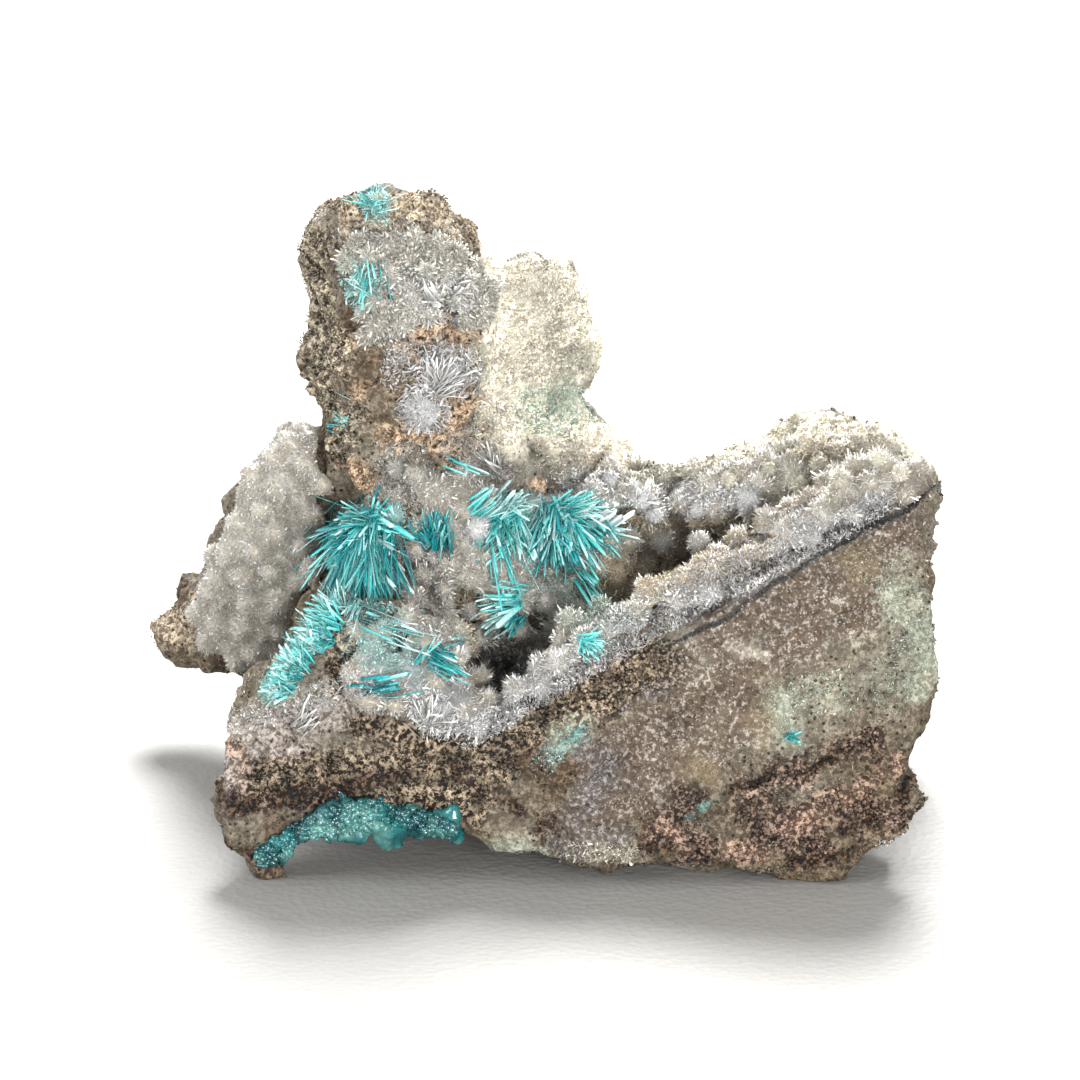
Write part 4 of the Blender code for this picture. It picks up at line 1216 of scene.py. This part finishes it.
# sheaves of blades: root pixel, tip pixel, fan in degrees, blades, widest in mm, tone
sheaves = {
    "spray_left": [
        ((366, 522), (330, 560), 22, 89, 0.28, "deep"), ((366, 524), (352, 605), 18, 122, 0.28, "deep"),
        ((366, 524), (374, 602), 14, 89, 0.29, "mid"), ((364, 526), (340, 582), 16, 73, 0.29, "mid"),
        ((372, 540), (392, 612), 8, 32, 0.28, "deep"), ((374, 552), (406, 583), 4, 9, 0.46, "pale"),
        ((370, 532), (346, 572), 6, 12, 0.46, "pale"), ((368, 528), (403, 548), 8, 9, 0.49, "bright"),
        ((366, 535), (372, 590), 7, 9, 0.57, "bright"), ((364, 520), (338, 518), 20, 49, 0.28, "mid"),
        ((370, 518), (386, 504), 24, 24, 0.26, "mid"), ((360, 530), (332, 595), 10, 49, 0.31, "bright"),
        ((372, 548), (398, 570), 5, 8, 0.40, "white"), ((352, 560), (340, 600), 14, 49, 0.28, "deep"),
    ],
    "spray_dark": [
        ((441, 549), (427, 511), 20, 49, 0.28, "deep"), ((436, 545), (445, 515), 16, 24, 0.26, "mid"),
    ],
    "spray_middle": [
        ((484, 516), (512, 486), 10, 22, 0.37, "pale"), ((478, 512), (500, 492), 14, 24, 0.31, "bright"),
        ((520, 522), (477, 563), 8, 24, 0.31, "bright"), ((519, 533), (532, 573), 4, 5, 0.60, "white"),
        ((512, 524), (524, 560), 12, 32, 0.31, "bright"), ((500, 520), (488, 540), 24, 49, 0.28, "mid"),
        ((510, 505), (530, 500), 24, 40, 0.29, "pale"), ((500, 530), (515, 590), 10, 19, 0.28, "mid"),
    ],
    "spray_right": [
        ((556, 514), (546, 562), 16, 97, 0.29, "deep"), ((560, 514), (576, 566), 14, 97, 0.29, "deep"),
        ((562, 516), (592, 552), 12, 57, 0.29, "mid"), ((596, 525), (622, 507), 5, 7, 0.60, "white"),
        ((600, 522), (636, 526), 8, 10, 0.36, "pale"), ((579, 513), (617, 555), 8, 24, 0.29, "bright"),
        ((584, 574), (606, 602), 8, 12, 0.46, "bright"), ((560, 512), (600, 504), 18, 49, 0.28, "mid"),
        ((575, 510), (604, 500), 16, 24, 0.33, "pale"), ((548, 515), (535, 545), 12, 24, 0.29, "bright"),
        ((556, 520), (560, 570), 6, 10, 0.40, "bright"),
    ],
    "spray_low": [
        ((518, 598), (481, 594), 9, 22, 0.31, "bright"), ((516, 604), (482, 616), 8, 19, 0.31, "pale"),
        ((514, 614), (483, 637), 7, 12, 0.54, "pale"), ((520, 618), (510, 636), 18, 24, 0.28, "mid"),
        ((512, 605), (520, 590), 24, 24, 0.26, "mid"),
    ],
    "spray_dome": [
        ((366, 616), (438, 640), 4, 5, 0.28, "pale"), ((372, 622), (425, 634), 7, 9, 0.24, "bright"),
        ((421, 662), (446, 638), 8, 5, 0.24, "bright"), ((431, 657), (472, 682), 6, 9, 0.26, "mid"),
        ((366, 688), (406, 680), 9, 13, 0.32, "deep"), ((384, 627), (434, 640), 3, 3, 0.28, "white"),
        ((436, 655), (462, 668), 12, 10, 0.27, "deep"), ((356, 604), (344, 622), 24, 25, 0.24, "pale"),
    ],
    "slope_upper": [
        ((334, 622), (308, 602), 26, 49, 0.26, "bright"), ((326, 634), (302, 618), 26, 49, 0.26, "bright"),
        ((318, 646), (294, 634), 26, 49, 0.26, "pale"), ((338, 606), (318, 592), 24, 32, 0.24, "pale"),
        ((330, 640), (316, 640), 30, 57, 0.26, "mid"),
    ],
    "slope_lower": [
        ((306, 660), (284, 644), 26, 49, 0.26, "bright"), ((298, 672), (274, 660), 26, 49, 0.26, "pale"),
        ((290, 684), (266, 676), 26, 49, 0.26, "bright"), ((280, 694), (262, 692), 26, 40, 0.24, "pale"),
        ((300, 676), (288, 672), 30, 57, 0.26, "mid"),
    ],
    "spray_top": [
        ((368, 204), (356, 186), 40, 19, 0.10, "bright"), ((372, 206), (386, 186), 40, 19, 0.10, "pale"),
        ((374, 200), (382, 222), 40, 12, 0.14, "bright"),
    ],
    "spray_column": [
        ((374, 262), (381, 300), 4, 3, 0.30, "bright"), ((368, 262), (372, 300), 4, 3, 0.26, "mid"),
        ((362, 268), (356, 300), 12, 8, 0.20, "bright"), ((366, 290), (350, 272), 50, 22, 0.10, "pale"),
    ],
}
# needles that lie alone on the rock
strayNeedles = [
    ((329, 423), (356, 425), 4, 6, 0.30, "mid"), ((333, 408), (352, 420), 8, 4, 0.24, "pale"),
    ((450, 463), (481, 476), 4, 5, 0.32, "bright"), ((585, 642), (604, 652), 30, 60, 0.22, "bright"),
    ((395, 683), (372, 690), 9, 12, 0.34, "deep"), ((465, 640), (440, 650), 20, 10, 0.2, "mid"),
    ((790, 735), (800, 742), 40, 24, 0.18, "mid"), ((395, 520), (385, 505), 30, 20, 0.2, "pale"),
]
silverFans = [
    ((437, 387), (462, 360), 30, 72, 0.18, "clear"), ((440, 382), (430, 358), 14, 20, 0.18, "clear"),
    ((426, 726), (440, 700), 34, 60, 0.20, "clear"), ((440, 730), (455, 712), 30, 34, 0.18, "clear"),
    ((300, 730), (322, 706), 20, 16, 0.24, "clear"), ((455, 292), (462, 278), 40, 14, 0.26, "clear"),
    ((436, 300), (424, 284), 30, 16, 0.22, "clear"), ((495, 470), (480, 450), 30, 20, 0.2, "clear"),
    ((640, 505), (655, 488), 40, 20, 0.3, "clear"),
]
sprayForm = {
    "reach": (0.4, 1.08), "rootSpread": 0.17,                   # shares of the sheaf's length
    "rootLift": (0.1, 0.5), "tipHighlightLift": (0.4, 2.0), "rise": 3,   # mm towards the eye
    "width": (0.35, 1.0), "thin": 0.2, "shoulder": 0.9, "tipSide": 0.5,
    "shade": (0.42, 1.25), "frostPower": 4, "seed": 33,
}
feltForm = {"shade": (0.35, 1.1), "sunk": 0.08, "toEye": 0.25}


def sheafOf(rootPixel, tipPixel, fan, count, widest, toneName, rng):
    # blades from about the root to about the tip, rising a little towards the eye
    s = sprayForm
    (x0, y0), (x1, y1) = rootPixel, tipPixel
    span = math.hypot(x1 - x0, y1 - y0)
    heading = math.atan2(y1 - y0, x1 - x0)
    apart = span * s["rootSpread"]
    roots, tips = [], []
    for _ in range(count):
        angle = heading + math.radians(rng.normal(0, fan))
        reach = span * rng.uniform(*s["reach"])
        rx, ry = x0 + rng.normal(0, apart), y0 + rng.normal(0, apart)
        rootAim = pixelAim(rx, ry)
        tipAim = pixelAim(rx + reach * math.cos(angle), ry + reach * math.sin(angle))
        rootFar = skinTree.ray_cast(viewEye, rootAim)[3] or viewSettings["away"]
        tipFar = skinTree.ray_cast(viewEye, tipAim)[3] or rootFar
        tipFar = min(rootFar, max(tipFar, rootFar - s["rise"]))
        roots.append(viewEye + rootAim * (rootFar - rng.uniform(*s["rootLift"])))
        tips.append(viewEye + tipAim * (tipFar - rng.uniform(*s["tipHighlightLift"])))
    foot, end = (tone(*colour) for colour in sprayTones[toneName])
    paleFoot, paleEnd = (tone(*colour) for colour in sprayTones["pale"])
    shade = rng.uniform(*s["shade"], (count, 1))
    frost = (rng.uniform(0, 1, (count, 1)) ** s["frostPower"]) * (toneName != "clear")
    foot = (foot + (paleFoot - foot) * frost) * shade
    end = (end + (paleEnd - end) * frost) * shade
    return np.array(roots), np.array(tips), widest * rng.uniform(*s["width"], count), foot, end


def makeSprays(mat, clearMat):
    s = sprayForm
    rng = np.random.default_rng(s["seed"])
    for name, rows in {**sheaves, "strayNeedles": strayNeedles, "silverFans": silverFans}.items():
        roots, tips, widths, foot, end = joined([sheafOf(*row, rng) for row in rows])
        aims, lengths = unit(tips - roots), np.linalg.norm(tips - roots, axis=1)
        thins = widths * s["thin"]
        points, faces = bladeMesh(roots, aims, lengths, widths, thins, rng, s["shoulder"], s["tipSide"])
        isClear = name == "silverFans"
        newPiece(name + "Blades", points, faces, twoToned(foot, end, 4, 5), clearMat if isClear else mat,
                 "hemimorphite" if isClear else "aurichalcite", [name] if name in cadNodes else [])
    felts = [
        patchOf(pixels, half, count, longest, sprayTones[toneName][1], rng)
        for pixels, half, count, longest, toneName in feltPatches
    ]
    roots, aims, lengths, tints = joined(felts)
    tints = varied(tints, feltForm["shade"], rng)
    roots = roots - aims * feltForm["sunk"]
    aims = unit(aims - feltForm["toEye"] * np.array(viewForward))
    grow("sprayFelt", "Needles", roots, aims, lengths, tints, rng, mat, slot="aurichalcite")


def skinOf(objects):
    # the dressed surfaces, in mm, for what grows on them
    points, faces, first = [], [], 0
    for obj in objects:
        found = pointsOf(obj.data)
        points.append(found)
        faces.append(trianglesOf(obj.data) + first)
        first += len(found)
    return BVHTree.FromPolygons(np.concatenate(points).tolist(), np.concatenate(faces).tolist())


# the blue-green crust under the foot, of blocky crystals
underSettings = {
    "deep": (0.05, 0.30, 0.32), "bright": (0.12, 0.45, 0.45), "pale": (0.34, 0.56, 0.54),
    "brightPatch": (1.6, 3, 8.0, 0.5, 1.6), "palePatch": (2.1, 3, 18.0, 0, 2.2),
    "voxel": 0.30, "smoothing": 2, "cell": 1.0, "relief": 0.40, "level": 0.7, "waver": 0.2, "floor": 0.05,
    # pixels of the streak, its half width in pixels, how many blocks
    "blocks": [
        ([(262, 858), (300, 838), (340, 824), (400, 814), (450, 832)], 11, 900),
        ([(290, 835), (330, 815), (380, 806)], 8, 300),
    ],
    "size": (0.22, 0.50), "shade": (0.7, 1.3), "seed": 61,
}


def makeUnderCrust(mat):
    s = underSettings
    crust = fineCopy("underCrust", "under_crust", s["voxel"], s["smoothing"])
    points, normals = pointsOf(crust.data), normalsOf(crust.data)
    away, kind = cells(points, s["cell"], 2.0)
    points = points + normals * (s["relief"] * (s["level"] - away) + s["waver"] * kind)[:, None]
    points[:, 2] = np.maximum(points[:, 2], s["floor"])
    movePoints(crust.data, points)
    dress(crust, underTints(points), mat, ["under_crust"])
    return crust


def underTints(points):
    s = underSettings
    deep, bright, pale = (tone(*s[name]) for name in ("deep", "bright", "pale"))
    share = patchy(points, *s["brightPatch"])[:, None]
    frost = patchy(points, *s["palePatch"])[:, None]
    tints = deep * share + bright * (1 - share)
    return tints * (1 - frost) + pale * frost


def makeBlocks(mat):
    s = underSettings
    rng = np.random.default_rng(s["seed"])
    patches = [patchOf(pixels, half, count, 0.3, s["deep"], rng) for pixels, half, count in s["blocks"]]
    places = joined(patches)[0]
    points, faces = grainMesh(places, rng.uniform(*s["size"], len(places)), rng)
    tints = varied(underTints(places), s["shade"], rng)
    newPiece("tealBlocks", points, faces, np.repeat(tints, 6, axis=0), mat, "aurichalcite")


makeCamera()
makeLights()
makeFloor()
print("camera, lights and floor are set")
rock, ground = makeRock()
print("rock is dressed")
makeGrains("porousGrains", porousGrains, rock, ground, grainFinish("limoniteGrains", 0.85))
makeGrains("sugarGrains", sugarGrains, rock, ground, grainFinish("sugaryGrains", 0.4))
print("grains are scattered")
bladeGlass = clearFinish("clearHemimorphite", 0.35, 0.12)
bedGlass = clearFinish("druseBed", 0.10, 0.38)
tealGlass = clearFinish("tealCrust", 0.35, 0.2, 1.62)
beds = [makeDruse(druse, bladeGlass, bedGlass) for druse in druseSettings]
skinTree = skinOf([rock, makeUnderCrust(tealGlass)] + beds)
makeVein(grainFinish("slateGrains", 0.4))
makeBlocks(tealGlass)
makeBalls(bedGlass)
makeCoat(rock, ground, bladeGlass)
print("druses are grown")
makeSprays(clearFinish("aurichalciteBlades", 0.25, 0.20, 1.65), bladeGlass)
print("sprays are grown")
